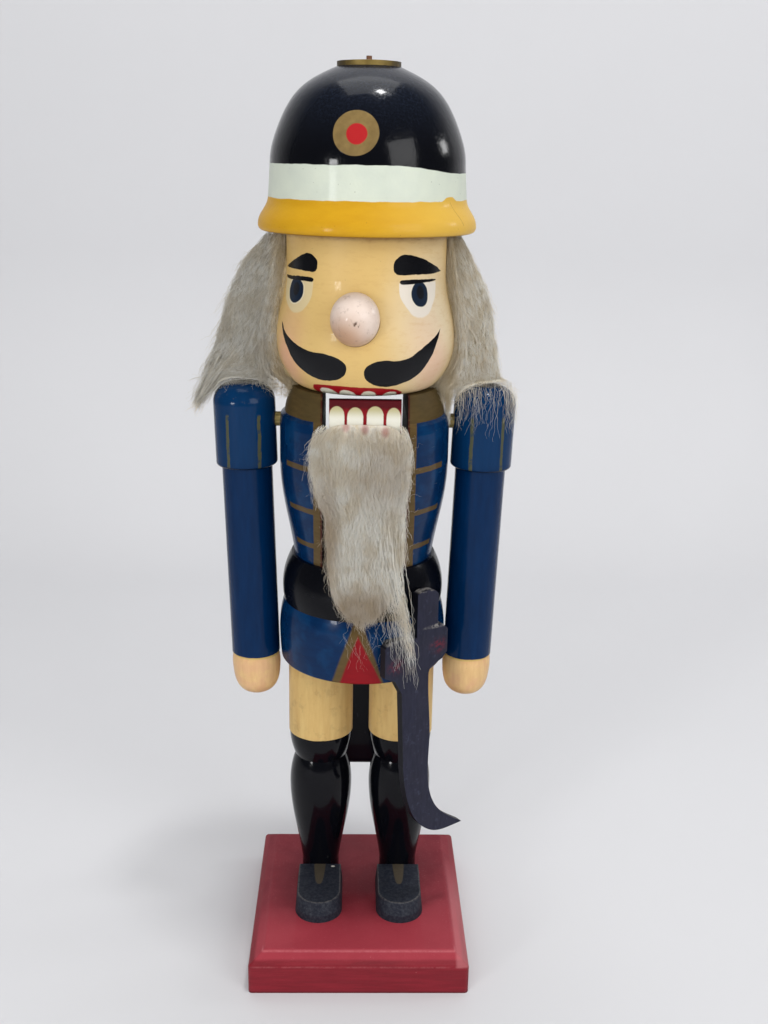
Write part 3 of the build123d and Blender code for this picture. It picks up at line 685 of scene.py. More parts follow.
def helmet_paint():
    """Gloss black dome with a painted cockade, a white band and a yellow brim, brushed by hand."""
    hues = colours()
    paint = Paint("helmet", hues.black)
    round_ = paint.azimuth()
    ripple = paint.noise(7.0, 3.0) - 0.5
    band_foot = HELMET_FOOT + 12.8
    band_top = band_foot + 12.7
    orange_peel = paint.noise(1.9, 3.0, 0.6)
    high_up = paint.above(paint.z, band_top + 20.0, 16.0)
    dust = paint.patches(1.0, 4.0, 0.8, 0.55, 0.1) * high_up
    paint.over((60, 72, 96), dust * 0.16 + high_up * 0.1)

    cockade_z = band_top + 11.4
    turn = math.radians(-7.7)
    dome_radius = 36.2
    centre = Vector((dome_radius * math.sin(turn), -dome_radius * math.cos(turn), cockade_z))
    away = paint.length(paint.x - centre.x, paint.y - centre.y, paint.z - centre.z) + ripple * 0.5
    ring = paint.below(away, sizes().cockade / MM, 0.15)
    gold = paint.mix((146, 122, 76), (98, 80, 48), paint.noise(3.0, 4.0))
    paint.over(gold, ring)
    red_away = paint.length(paint.x - centre.x - 0.4, paint.y - centre.y, paint.z - centre.z + 0.5)
    spot = paint.below(red_away + ripple * 0.5, sizes().cockade_red / MM, 0.25)
    paint.over((172, 26, 36), spot * 0.95)

    ahead = paint.below(abs(round_), 140.0, 40.0)
    drop = paint.above(round_, 38.0, 22.0) * ahead * 2.6
    white_top = band_top - drop + ripple * 0.9
    white = paint.mix(hues.band, (190, 198, 188), paint.noise(9.0, 3.0) * 0.8)
    pits = paint.specks(2.4, 0.15) * paint.patches(10.0, 2.0, 0.5, 0.52, 0.05)
    white = paint.mix(white, (60, 60, 58), pits * 0.8)
    below_top = paint.below(paint.z, white_top, 0.12)
    paint.over(white, below_top)
    creep = paint.below(abs(round_ - 52.0), 5.0, 3.0) * 1.6
    below_foot = paint.below(paint.z, band_foot + ripple * 1.1 + creep, 0.12)
    strokes = paint.noise(8.0, 4.0, 0.6, (0.5, 0.5, 1.5))
    yellow = paint.mix(hues.brim, (182, 128, 22), strokes * 0.8)
    # Painted light: the brim is paler towards the right, where the light falls on it.
    yellow = paint.mix(yellow, (226, 190, 96), paint.above(round_, 20.0, 30.0) * ahead * 0.5)
    yellow = paint.mix(yellow, (120, 84, 16), pits * 0.7)
    crack_line = ((52.0, 12.6, 0.1), (55.0, 8.6, 0.25), (58.0, 4.0, 0.1))
    crack = paint.stroke(round_, paint.z - HELMET_FOOT, crack_line)
    yellow = paint.mix(yellow, (120, 80, 24), paint.below(crack + ripple * 0.6, 0.0, 0.15) * 0.7)
    paint.over(yellow, below_foot)
    under = paint.below(paint.z, HELMET_FOOT + 0.35, 0.25)
    paint.over((104, 68, 24), under * 0.7)
    black_part = (1 - below_top) * (1 - ring)
    roughness = 0.4 - black_part * 0.27 + orange_peel * 0.05 + dust * 0.15
    height = (orange_peel - 0.5) * 0.1 + paint.brushed(0.02) + (below_top + ring + spot) * 0.05
    return paint.finish(roughness, height, coat=0.08 + black_part * 0.16)


def crown_paint():
    """Rubbed gold paint, with painted shade dark towards the sides of the rim."""
    paint = Paint("crown_gold", (158, 136, 76))
    paint.over((92, 74, 40), paint.noise(3.2, 5.0, 0.65))
    # Painted shade: darker towards the left and right of the rim, broken up in patches.
    sides = paint.above(abs(paint.x), 7.5, 4.0) * paint.patches(4.0, 3.0, 0.5, 0.36, 0.2)
    paint.over((48, 44, 38), sides * 0.8)
    peg = paint.below(paint.length(paint.x, paint.y), 1.6, 0.2)
    paint.over((120, 86, 66), peg)
    return paint.finish(0.42, paint.brushed(0.05, 1.0), metallic=0.2)


def sleeve_paint(side):
    """Blue gloss sleeve with two thin gold stripes on the cap, and a lacquered wooden hand."""
    hues = colours()
    which = "left" if side < 0 else "right"
    paint = Paint("sleeve_" + which, hues.jacket)
    low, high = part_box("arm_" + which)
    top, foot = high.z / MM, low.z / MM
    streaks = paint.noise(2.4, 4.0, 0.6, (1.2, 1.2, 0.16))
    paint.over((1, 24, 54), streaks * 0.85)
    paint.over((14, 60, 100), paint.above(paint.z, top - 34.0, 3.0) * 0.3)
    around = (paint.x - side * SHOULDER_X).angle_to(paint.y * -1) * math.degrees(1)
    for turn in (-28.0, 32.0):
        wander = paint.wander(5.0, 4.0) + paint.wander(0.8, 2.0, 3.0)
        stripe = paint.below(abs(around - turn + wander), 3.3, 0.9)
        stripe = stripe * paint.between(paint.z, top - 34.4, top - 12.0, 0.6)
        worn_away = paint.patches(3.0, 3.0, 0.7, 0.34, 0.14)
        paint.over((86, 84, 46), stripe * worn_away * 0.75)
    lip = paint.between(paint.z, top - 35.2, top - 34.2, 0.3)
    paint.over((1, 14, 34), lip * 0.7)
    scuffs = paint.patches(2.0, 5.0, 0.7, 0.64, 0.03)
    paint.over((116, 108, 92), scuffs * paint.above(paint.z, top - 5.0, 4.0) * 0.5)
    wrist = foot + 19.8
    bare = paint.below(paint.z, wrist + paint.wander(5.0, 0.7), 0.12)
    grain = paint.noise(1.6, 4.0, 0.6, (1, 1, 0.12))
    blotch = paint.noise(6.0, 3.0, 0.6)
    wood = paint.mix(hues.wood, (196, 150, 100), paint.above(grain, 0.52, 0.2) * 0.4)
    wood = paint.mix(wood, (212, 160, 128), paint.above(blotch, 0.52, 0.12) * 0.45)
    pits = paint.specks(3.2, 0.16) * paint.patches(7.0, 2.0, 0.5, 0.5, 0.1)
    wood = paint.mix(wood, (110, 76, 44), pits * 0.8)
    # Painted shade: the hand is darker towards its bottom.
    wood = paint.mix(wood, (150, 104, 66), paint.below(paint.z, foot + 3.0, 4.0) * 0.35)
    # Painted highlight: a yellow ring just under the sleeve's edge.
    ring = paint.between(paint.z, wrist - 0.9, wrist + 0.1, 0.25)
    wood = paint.mix(wood, (200, 172, 100), ring * 0.8)
    paint.over(wood, bare)
    height = paint.brushed(0.03, 1.4, upright=True)
    coat = 0.12 + bare * 0.1
    return paint.finish(0.14 + bare * 0.2 + streaks * 0.06, height, coat=coat, specular=0.08)


def lever_paint():
    """Dark lever whose jaw has a red band and four teeth with red runs between them."""
    hues = colours()
    paint = Paint("lever", hues.handle)
    paint.over((46, 46, 60), paint.patches(5.0, 6.0, 0.7, 0.64, 0.03) * 0.55)
    front = paint.below(paint.y, JAW_Y + 0.3, 0.1)
    up = paint.z - JAW_TOP
    wobble = paint.wander(1.6, 0.5, 3.0)
    red = paint.mix(hues.jaw, (84, 10, 18), paint.noise(2.0, 3.0))
    runs = paint.mix((150, 14, 26), (104, 8, 18), paint.noise(1.2, 3.0))
    red = paint.mix(red, runs, paint.below(up + wobble * 2.0, -4.2, 1.4))
    mouth = paint.above(up, -16.0, 0.3) * front
    paint.over(red, mouth)
    for left, right, crest in (
        (-14.2, -8.2, -2.9), (-7.1, -0.8, -3.3), (0.6, 7.2, -2.8), (8.4, 14.0, -3.3),
    ):
        centre, half = (left + right) / 2, (right - left) / 2
        shoulder = crest - 3.9
        head = paint.ellipse(paint.x + wobble * 0.6, up, (centre, shoulder), half, 3.9)
        head = paint.below(head, 0.0, 0.2) * paint.above(up, shoulder - 0.1, 0.02)
        body = paint.below(abs(paint.x - centre + wobble * 0.6), half, 0.2)
        body = body * paint.below(up, shoulder, 0.02)
        # Painted shadow: the teeth are yellow-grey at the top, where the head shades them, and
        # white lower down.
        ivory = paint.mix((184, 176, 132), hues.teeth, paint.above(up * -1, 6.0, 2.5))
        paint.over(ivory, head.most(body) * mouth)
    top = paint.above(up, -0.5, 0.2)
    paint.over((40, 6, 12), top)
    return paint.finish(0.32, paint.brushed(0.03, 1.2, upright=True), coat=0.15)


# The sword's board is turned so many degrees, and its face stands so far from the axis
SWORD_TURN = 34.0
SWORD_FACE = 39.7


def sword_paint():
    """Matt dark slate board with rubbed pale edges, painted shade near black on its edge faces, and
    two faint red smears.
    """
    paint = Paint("sword_slate", colours().sword)
    paint.grubby(0.35, 9.0)
    grain = paint.noise(1.4, 4.0, 0.65, (1, 1, 0.2))
    paint.over((22, 24, 40), paint.above(grain, 0.5, 0.2) * 0.6)
    rub = paint.patches(2.2, 5.0, 0.7, 0.5, 0.08)
    paint.over((64, 68, 88), paint.patches(3.0, 5.0, 0.75, 0.62, 0.06) * 0.4)
    turned = math.radians(SWORD_TURN)
    out = paint.x * math.sin(turned) - paint.y * math.cos(turned)
    # Painted shade: the board's edge faces are near black.
    paint.over((8, 9, 15), paint.below(out, SWORD_FACE - 0.25, 0.15) * 0.9)
    grip_top = paint.above(paint.z, level("sword") - 0.6, 0.3)
    guard_tops = paint.spot(paint.x, paint.z, (32.0, 157.0), 6.0, 0.9, 0.4).most(
        paint.spot(paint.x, paint.z, (10.0, 154.0), 5.0, 0.9, 0.4)
    )
    paint.over((136, 132, 128), grip_top.most(guard_tops) * rub * 0.8)
    for x, z in ((32.0, 148.0), (14.0, 143.0)):
        smear = paint.below(paint.length(paint.x - x, paint.z - z), 2.5, 2.5) * rub
        paint.over((110, 30, 44), smear * 0.7)
    return paint.finish(0.5, paint.brushed(0.04, 1.0, upright=True), specular=0.2)


def bare_wood():
    """Bare turned hardwood."""
    paint = Paint("bare_wood", (170, 150, 98))
    grain = paint.noise(0.8, 4.0, 0.6, (0.2, 1, 1))
    paint.over((116, 104, 62), paint.above(grain, 0.48, 0.2))
    return paint.finish(0.55, (grain - 0.5) * 0.05)


def pin_steel():
    """Drawn steel wire."""
    paint = Paint("pin_steel", (178.9, 178.9, 180.6))
    drawn = paint.noise(0.4, 3.0, 0.6, (0.1, 1, 1))
    paint.over((206.4, 206.4, 207.9), drawn)
    return paint.finish(0.25 + drawn * 0.15, metallic=1.0)


def fleece():
    """Wool whose strands vary in tone, from the attribute that each strand carries."""
    hues = colours()
    # The ground is the painted shade deep in the wool; low tones, as on the pads, keep it.
    paint = Paint("fleece", hues.fleece_depth_shade)
    tone = paint.node("ShaderNodeAttribute", {"attribute_name": "tone"}, (), "Fac")
    inputs = (paint.place, (1.2, 1.2, 0.35))
    place = paint.node("ShaderNodeVectorMath", {"operation": "MULTIPLY"}, inputs)
    fibre = paint.node(
        "ShaderNodeTexNoise", {}, {"Vector": place, "Scale": 2.2, "Detail": 4.0, "Distortion": 1.4}
    )
    clumps = paint.noise(4.5, 3.0, 0.6)
    tone = tone + (fibre - 0.5) * 0.6 + (clumps - 0.5) * 1.1
    paint.over(hues.fleece_tan, paint.above(tone, 0.12, 0.2))
    paint.over(hues.fleece, paint.above(tone, 0.4, 0.2))
    paint.over(hues.fleece_white, paint.above(tone, 0.72, 0.2) * 0.9)
    patches = paint.patches(10.0, 2.0, 0.5, 0.52, 0.1)
    paint.over((204, 184, 146), patches * 0.4)
    out = paint.length(paint.x, paint.y)
    beard = paint.below(paint.z, TORSO_TOP - 9.0, 2.0)
    near_face = paint.below(out, 37.5, 3.0) * (1 - beard)
    # Painted shade: the left hair is greyer and darker.
    left = paint.below(paint.x, -38.0, 4.0) * (1 - beard)
    paint.over((160, 158, 150), left * 0.5)
    paint.over((188, 164, 112), near_face * 0.6)
    for x, z, half_width, half_height, strength in (
        (8.0, 224.0, 11.0, 13.0, 0.35),
        (-15.5, 198.0, 5.0, 22.0, 0.6),
        (-1.0, 168.0, 13.0, 9.0, 0.6),
    ):
        brown = paint.spot(paint.x, paint.z, (x, z), half_width, half_height, 0.7)
        paint.over((160, 130, 88), brown * beard * strength)
    for x, z in ((-7.6, 242.4), (-0.1, 241.8), (7.9, 240.6)):
        stain = paint.spot(paint.x, paint.z, (x, z), 1.4, 1.8, 0.6)
        paint.over((176, 70, 72), stain * 0.5)
    height = (fibre - 0.5) * 0.3 + (paint.noise(2.2, 3.0, 0.6) - 0.5) * 0.4
    return paint.finish(0.85, height, sheen=0.3, specular=0.1)


HEAD_OUTLINE = (
    (0.0, 25.6), (4.6, 31.6), (11.4, 34.9), (20.0, 36.5), (30.4, 35.3), (38.4, 33.5),
    (45.0, 32.4), (61.9, 32.4),
)
TORSO_OUTLINE = (
    (0.0, 35.4), (13.6, 36.0), (27.2, 34.1), (35.4, 34.5), (47.8, 30.7), (66.0, 33.5),
    (78.5, 35.0), (88.5, 35.4), (102.5, 35.4), (108.3, 34.9), (109.5, 33.3), (120.1, 29.7),
)


def radius_at(outline, height):
    """The radius of a turned outline of (height, radius) pairs, in millimetres."""
    return np.interp(height, *zip(*outline))


def ease(share):
    """A smooth step from 0 to 1."""
    share = np.clip(share, 0.0, 1.0)
    return share * share * (3 - 2 * share)


class Draws:
    """Random draws of one number for each strand."""

    def __init__(self, chance, strands):
        self.chance = chance
        self.shape = (strands, 1)

    def even(self, low=0.0, high=1.0):
        """Evenly spread between low and high."""
        return self.chance.uniform(low, high, self.shape)

    def bell(self, middle, spread):
        """Mostly near the middle, with a few far out."""
        return self.chance.normal(middle, spread, self.shape)

    def some(self, share):
        """True for about this share of the strands."""
        return self.chance.random(self.shape) < share

    def either(self, chosen, low, high):
        """Between the two ends in low for the chosen strands, and in high for the others."""
        return np.where(chosen, self.even(*low), self.even(*high))


def curl(chance, paths, reach, pitch):
    """Waves each strand sideways, more towards its tip, about so many millimetres a turn."""
    strands, points, _ = paths.shape
    steps = np.linalg.norm(np.diff(paths, axis=1), axis=2)
    run = np.concatenate([np.zeros((strands, 1)), np.cumsum(steps, axis=1)], axis=1)
    grown = np.linspace(0, 1, points)[None, :] ** 0.7
    for axis in range(3):
        for share in (1.0, 0.45):
            turn = chance.uniform(0, 2 * math.pi, (strands, 1))
            length = pitch * share * chance.uniform(0.7, 1.5, (strands, 1))
            size_here = reach * share * chance.uniform(0.3, 1.5, (strands, 1))
            wave = np.sin(turn + run / length * 2 * math.pi) - np.sin(turn)
            paths[:, :, axis] += size_here * wave * grown
    return paths


def gather(chance, paths, locks, pull):
    """Draws each strand towards the path of one strand near its root, as wool lies in locks."""
    roots = paths[:, 0, :]
    leaders = chance.choice(len(paths), locks, replace=False)
    spans = ((roots[:, None, :] - roots[None, leaders, :]) ** 2).sum(2)
    nearest = leaders[np.argmin(spans, axis=1)]
    share = pull * np.linspace(0, 1, paths.shape[1])[None, :, None] ** 0.8
    return paths + (paths[nearest] - paths) * share


def fuzz(chance, paths, share, reach, bend=1.0):
    """Sends a share of the strands off in directions of their own."""
    strands, points, _ = paths.shape
    along = np.linspace(0, 1, points)[None, :, None] ** bend
    loose = chance.random((strands, 1, 1)) < share
    return paths + np.where(loose, chance.normal(0, reach, (strands, 1, 3)) * along, 0)


def keep_off_arms(paths):
    """Moves points out of the space that the shoulder caps turn in, away from their axis."""
    off_cap = np.abs(np.abs(paths[..., 0]) - SHOULDER_X) / (CAP_RADIUS + 1.6)
    least = CAP_SWEEP * np.sqrt(np.clip(1 - off_cap**4, 0, 1))
    rise = paths[..., 2] - SHOULDER_Z
    away = np.maximum(np.hypot(paths[..., 1], rise), 0.1)
    push = np.maximum(1.0, least / away)
    paths[..., 1] *= push
    paths[..., 2] = SHOULDER_Z + rise * push
    return paths


def keep_off_head(paths, gap):
    """Moves points out of the head, straight away from its axis, and below the helmet."""
    flat = np.maximum(np.hypot(paths[..., 0], paths[..., 1]), 0.1)
    least = radius_at(HEAD_OUTLINE, paths[..., 2] - TORSO_TOP) + gap
    paths[..., :2] *= np.maximum(1.0, least / flat)[..., None]
    paths[..., 2] = np.minimum(paths[..., 2], HELMET_FOOT - 0.4)
    return paths


def keep_off_torso(paths):
    """Moves points in front of the jacket, belt and skirt, or of the jaw inside the slot."""
    body = radius_at(TORSO_OUTLINE, paths[..., 2] - SKIRT_HEM) + 0.5
    least = np.sqrt(np.clip(body**2 - paths[..., 0] ** 2, 0, None))
    in_slot = (np.abs(paths[..., 0]) < SLOT_HALF - 1.5) & (paths[..., 2] > BELT_TOP + 1.1)
    least = np.where(in_slot, -JAW_Y + 0.2, np.maximum(least, -JAW_Y + 0.2))
    paths[..., 1] = np.minimum(paths[..., 1], -least)
    return paths


def new_object(name, data):
    """An object at the origin, unturned, in the scene."""
    made = bpy.data.objects.new(name, data)
    bpy.context.collection.objects.link(made)
    return made


def mesh_of(form, name, material):
    """A smooth mesh from a finished bmesh, which it uses up."""
    bmesh.ops.recalc_face_normals(form, faces=form.faces)
    mesh = bpy.data.meshes.new(name)
    form.to_mesh(mesh)
    form.free()
    mesh.materials.append(material)
    mesh.shade_smooth()
    return mesh


def tone_attribute(mesh, values):
    """The tone of each point, which the fleece material reads."""
    attribute = mesh.attributes.new("tone", "FLOAT", "POINT")
    attribute.data.foreach_set("value", values.astype(np.float32))


# Points along one short strand of fur
POINTS = 9


def strand_mesh(name, paths, tones, thickness, material):
    """One mesh of three-sided tapered strands along the paths, in millimetres."""
    strands, points, _ = paths.shape
    line = bpy.data.curves.new(name + "_lines", "CURVE")
    line.dimensions = "3D"
    triangle = bpy.data.curves.new(name + "_section", "CURVE")
    section = triangle.splines.new("POLY")
    section.points.add(2)
    for corner, point in enumerate(section.points):
        turn = corner * 2 * math.pi / 3
        point.co = (math.cos(turn) * thickness / 2, math.sin(turn) * thickness / 2, 0, 1)
    section.use_cyclic_u = True
    outline = new_object(name + "_section", triangle)
    line.bevel_mode = "OBJECT"
    line.bevel_object = outline
    line.use_fill_caps = True
    taper = np.linspace(1.0, 0.3, points) ** 0.7
    places = np.concatenate([paths * MM, np.ones((strands, points, 1))], axis=2)
    for path in places:
        spline = line.splines.new("POLY")
        spline.points.add(points - 1)
        spline.points.foreach_set("co", path.ravel())
        spline.points.foreach_set("radius", taper)
    holder = new_object(name + "_lines", line)
    bpy.context.view_layer.update()
    swept = holder.evaluated_get(bpy.context.evaluated_depsgraph_get())
    mesh = bpy.data.meshes.new_from_object(swept)
    mesh.name = name
    bpy.data.objects.remove(holder)
    bpy.data.objects.remove(outline)
    mesh.materials.clear()
    mesh.materials.append(material)
    tone_attribute(mesh, np.repeat(tones, len(mesh.vertices) // strands))
    mesh.shade_smooth()
    return new_object(name, mesh)


def fur_piece(chance, name, paths, material, thickness=1.0, tone=0.58):
    """Strands of about one tone, a little paler or darker each."""
    tones = np.clip(chance.normal(tone, 0.26, len(paths)), 0, 1)
    return strand_mesh(name, paths, tones, sizes().strand * thickness, material)


def pad_mesh(name, place, material, tone=0.2):
    """The thick of the fur: a ball squared off, made lumpy and put in place by place()."""
    form = bmesh.new()
    bmesh.ops.create_icosphere(form, subdivisions=6, radius=1.0)
    spots = np.array([vertex.co for vertex in form.verts])
    spots /= (np.abs(spots) ** 6).sum(axis=1, keepdims=True) ** (1 / 6)
    lumps = [noise.noise(v.co * 5.0) + noise.noise(v.co * 13.0) / 2 for v in form.verts]
    spots[:, 1] += np.array(lumps) * 0.2
    for vertex, spot in zip(form.verts, place(*spots.T)):
        vertex.co = spot * MM
    mesh = mesh_of(form, name, material)
    # A low tone paints the pad in the dark ground colour: painted shade between the strands.
    tone_attribute(mesh, np.full(len(mesh.vertices), tone))
    return new_object(name, mesh)


# How far the hair stands from the figure's axis, as (height, distance)
SIDE_REACH = {
    -1: (
        (240.0, 71.5), (246.0, 69.5), (258.0, 66.0), (269.0, 61.5), (287.0, 57.0), (302.0, 50.5),
        (315.0, 39.5),
    ),
    1: (
        (246.0, 58.5), (258.0, 55.5), (269.0, 53.4), (281.0, 51.6), (295.0, 47.5), (309.0, 40.5),
        (315.0, 37.5),
    ),
}
BACK_REACH = ((246.0, 52.0), (258.0, 51.0), (280.0, 49.0), (300.0, 44.0), (315.0, 38.0))
# How low the hair comes, as (distance from the axis, height)
HAIR_FOOT = {
    -1: ((34.0, 248.5), (39.0, 256.5), (60.0, 256.5), (65.5, 254.0), (71.0, 249.0)),
    0: ((34.0, 248.0), (52.0, 248.0)),
    1: ((34.0, 247.0), (39.0, 254.0), (60.0, 252.0)),
}
# Degrees round the head at which each side's wool begins
FLEECE_FRONT = {-1: 81.5, 0: 140.0, 1: 78.5}
# Distance from the shoulder's axis that the turning cap needs
CAP_SWEEP = 18.4


def hair_place(side, turn, height, share):
    """Places in the hair, from share 0 on the head to share 1 on the outside."""
    head = radius_at(HEAD_OUTLINE, height - TORSO_TOP)
    reach = np.interp(height, *zip(*BACK_REACH))
    if side:
        beside = np.interp(height, *zip(*SIDE_REACH[side]))
        reach = beside + (reach - beside) * ease((turn - 115.0) / 50.0)
        reach = head + (reach - head) * (0.3 + 0.7 * ease((turn - FLEECE_FRONT[side]) / 9.0))
    out = head + (reach - head) * share
    angle = np.radians(turn) * (side or 1)
    return np.stack([out * np.sin(angle), -out * np.cos(angle), height], axis=-1)


def hair_foot(side, spots):
    """How low the hair comes at these places."""
    return np.interp(np.hypot(spots[..., 0], spots[..., 1]), *zip(*HAIR_FOOT[side]))


def hair_pad(side, turns):
    """The place() of a hair pad."""
    middle, half = (turns[0] + turns[1]) / 2, (turns[1] - turns[0]) / 2

    def place(around, outward, up):
        turn, share = middle + half * around, 0.14 + 0.6 * outward
        rise = (up + 1) / 2
        foot = hair_foot(side, hair_place(side, turn, 256.0 + 58.0 * rise, share))
        height = foot + (HELMET_FOOT - 0.6 - foot) * rise
        spots = hair_place(side, turn, height, share)
        return keep_off_arms(keep_off_head(spots, -0.6))

    return place


def hair_paths(chance, strands, side, turns):
    """Short waved strands all over a hair pad, that lie down and outwards."""
    draw = Draws(chance, strands)
    along = np.linspace(0, 1, POINTS)[None, :]
    start = draw.even()
    front = draw.some(0.5 if side else 0.0)
    start = np.where(front, start * 0.16 - 0.005, start ** (1.3 if side else 1.0))
    turn = turns[0] + (turns[1] - turns[0]) * start
    share = draw.even(0.76, 1.0)
    at_face = draw.some(0.14 if side else 0.0)
    turn = np.where(at_face, turns[0] + draw.even(-1.0, 0.6), turn)
    share = np.where(at_face, draw.even(0.05, 1.0), share)
    root = draw.even(249.0, HELMET_FOOT - 0.8)
    foot = hair_foot(side, hair_place(side, turn, root, share)) + draw.bell(0.0, 1.0)
    root = np.maximum(root, foot + 2.0)
    fall = draw.even(7.0, 24.0)
    height = root + (np.maximum(root - fall, foot) - root) * along
    drift = draw.bell(1.0, 4.5) * along
    turn = np.maximum(turn + drift, turns[0] - 1.2)
    share = share + draw.bell(0.03, 0.09) * along
    paths = hair_place(side, turn, height, share)
    paths = gather(chance, paths, strands // 40, 0.45)
    paths = curl(chance, paths, 0.6, 7.5)
    paths = fuzz(chance, paths, 0.12, 1.6)
    return keep_off_arms(keep_off_head(paths, 0.3))


def lock_paths(chance, strands, side):
    """Loose locks: the tail beyond the left shoulder, and wisps beside the right cap."""
    along = np.linspace(0, 1, POINTS)[None, :, None]
    if side < 0:
        turn, height = chance.uniform(84, 104, strands), chance.uniform(252, 274, strands)
        x, y, z = -69.8, -1.0, chance.normal(245.0, 2.6, strands)
        tip = np.stack([chance.normal(x, 1.3, strands), chance.normal(y, 2.6, strands), z], axis=-1)
    else:
        turn, height = chance.uniform(79, 80, strands), chance.uniform(256, 266, strands)
        x, y, z = (33.8, 35.0), (-9.0, -3.0), (234.0, 250.0)
        tip = np.stack([chance.uniform(*ends, strands) for ends in (x, y, z)], axis=-1)
    share = chance.uniform(0.85, 1.0, strands) if side < 0 else chance.uniform(0.1, 0.6, strands)
    root = hair_place(side, turn, height, share)
    paths = root[:, None, :] + (tip - root)[:, None, :] * along
    paths = gather(chance, paths, strands // 16, 0.3)
    paths = curl(chance, paths, 0.55, 6.0)
    if side < 0:
        return keep_off_arms(paths)
    low = paths[..., 2] < SHOULDER_Z + CAP_SWEEP
    beside_cap = np.minimum(paths[..., 0], SHOULDER_X - CAP_RADIUS - 0.8)
    paths[..., 0] = np.where(low, beside_cap, paths[..., 0])
    return paths


def fringe_paths(chance, strands, side):
    """Wool that lies on a shoulder cap, and at the right hangs over its front in thin wisps."""
    draw = Draws(chance, strands)
    along = np.linspace(0, 1, POINTS)[None, :]
    half_cap, skin = 12.6, CAP_RADIUS + 0.8
    hangs = draw.some(0.0 if side < 0 else 0.24)
    off = draw.even(-half_cap, half_cap)
    off = np.where(hangs, np.sign(off) * np.abs(off) ** 0.6 * half_cap**0.4, off)
    lift = draw.either(hangs, (55.0, 75.0), (74.0, 112.0))
    fall = np.where(hangs, draw.even(12.0, 82.0), draw.bell(4.0, 8.0))
    lift = np.radians(lift - fall * along)
    inside = np.sqrt(np.clip(1 - (off / skin) ** 2, 0.04, 1))
    front = CAP_RADIUS * inside + 0.8
    top = skin - 4.6 * np.clip((np.abs(off) - 7.5) / 5.4, 0, 1) ** 2
    corner = ((np.abs(np.cos(lift)) / front) ** 5 + (np.abs(np.sin(lift)) / top) ** 5) ** -0.2
    outer = np.minimum(CAP_SWEEP - 0.2, corner + draw.even(1.0, 5.0))
    out = outer + (corner + 0.2 - outer) * along ** np.where(hangs, 0.4, 1.0)
    drift = draw.bell(0.0, 2.2) * along
    x = side * (SHOULDER_X + np.clip(off + drift, -13.4, 13.4))
    paths = np.stack([x, -out * np.cos(lift), SHOULDER_Z + out * np.sin(lift)], axis=-1)
    waved = curl(chance, paths.copy(), 0.8, 6.0)
    flat = np.hypot(waved[..., 1], waved[..., 2] - SHOULDER_Z)
    pull = np.minimum(1.0, (CAP_SWEEP - 0.1) / np.maximum(flat, 0.1))
    waved[..., 1] *= pull
    waved[..., 2] = SHOULDER_Z + (waved[..., 2] - SHOULDER_Z) * pull
    return waved


# The beard's edges and how far it stands out in front, as (height, millimetres)
BEARD_LEFT = (
    (158.0, -5.0), (165.5, -6.5), (169.3, -9.3), (176.2, -12.6), (187.0, -14.4), (197.0, -14.8),
    (206.0, -15.4), (213.0, -18.2), (222.0, -20.4), (230.0, -21.5), (236.0, -21.2),
    (240.0, -20.2), (242.3, -18.2), (244.0, -15.0),
)
BEARD_RIGHT = (
    (158.0, 4.0), (165.5, 6.0), (169.5, 9.0), (176.5, 12.5), (187.0, 15.6), (197.0, 16.2),
    (208.0, 16.2), (219.0, 16.9), (230.0, 18.4), (235.0, 18.4), (240.0, 17.5), (242.7, 15.6),
    (244.0, 13.0),
)
BEARD_DEPTH = (
    (130.0, 38.6), (160.0, 40.0), (175.0, 40.6), (200.0, 39.2), (225.0, 37.4), (238.0, 35.0),
    (244.0, 31.5),
)
BEARD_TOP = 243.0
BEARD_FOOT = 164.0


def beard_place(across, height, share):
    """Places in the beard, from share 0 at its back to share 1 on the outside."""
    left = np.interp(height, *zip(*BEARD_LEFT))
    right = np.interp(height, *zip(*BEARD_RIGHT))
    x = (left + right) / 2 + (right - left) / 2 * across
    front = np.interp(height, *zip(*BEARD_DEPTH))
    back = -JAW_Y + 0.2
    out = back + (front * (1 - 0.05 * across**2) - back) * share
    return np.stack([x, -out, height + 0 * x], axis=-1)


def beard_pad(across, outward, up):
    """The place() of the beard's pad."""
    foot = BEARD_FOOT + 11.0
    height = (BEARD_TOP + foot) / 2 + (BEARD_TOP - foot) / 2 * up
    narrow = 0.94 - 0.2 * ease((192.0 - height) / 20.0)
    return keep_off_torso(beard_place(across * narrow, height, 0.4 + 0.34 * outward))


def beard_paths(chance, strands):
    """Short waved strands all over the beard, that hang and stand out a little."""
    draw = Draws(chance, strands)
    along = np.linspace(0, 1, POINTS)[None, :]
    across = draw.even(-1.0, 1.0)
    edge = draw.some(0.2)
    across = np.where(edge, np.sign(across) * draw.even(0.86, 1.0), across)
    root = draw.even(BEARD_FOOT, BEARD_TOP)
    low = draw.some(0.1)
    root = np.where(low, draw.even(BEARD_FOOT + 4.0, BEARD_FOOT + 20.0), root)
    fall = draw.even(4.0, 14.0)
    fringe = BEARD_FOOT + draw.bell(-1.0, 3.0) + 4.0 * across**2
    height = root + (np.maximum(root - fall, fringe) - root) * along
    share = 0.8 + 0.16 * draw.even() + 0.14 * along * draw.even()
    drift = draw.bell(0.0, 0.17) * along * (1.15 - 0.8 * np.abs(across))
    paths = beard_place(across + drift, height, share)
    paths = gather(chance, paths, strands // 36, 0.4)
    paths = curl(chance, paths, 0.6, 5.5)
    paths = fuzz(chance, paths, np.where(np.abs(across) > 0.84, 0.4, 0.1)[..., None], 1.2, 0.8)
    return keep_off_torso(paths)


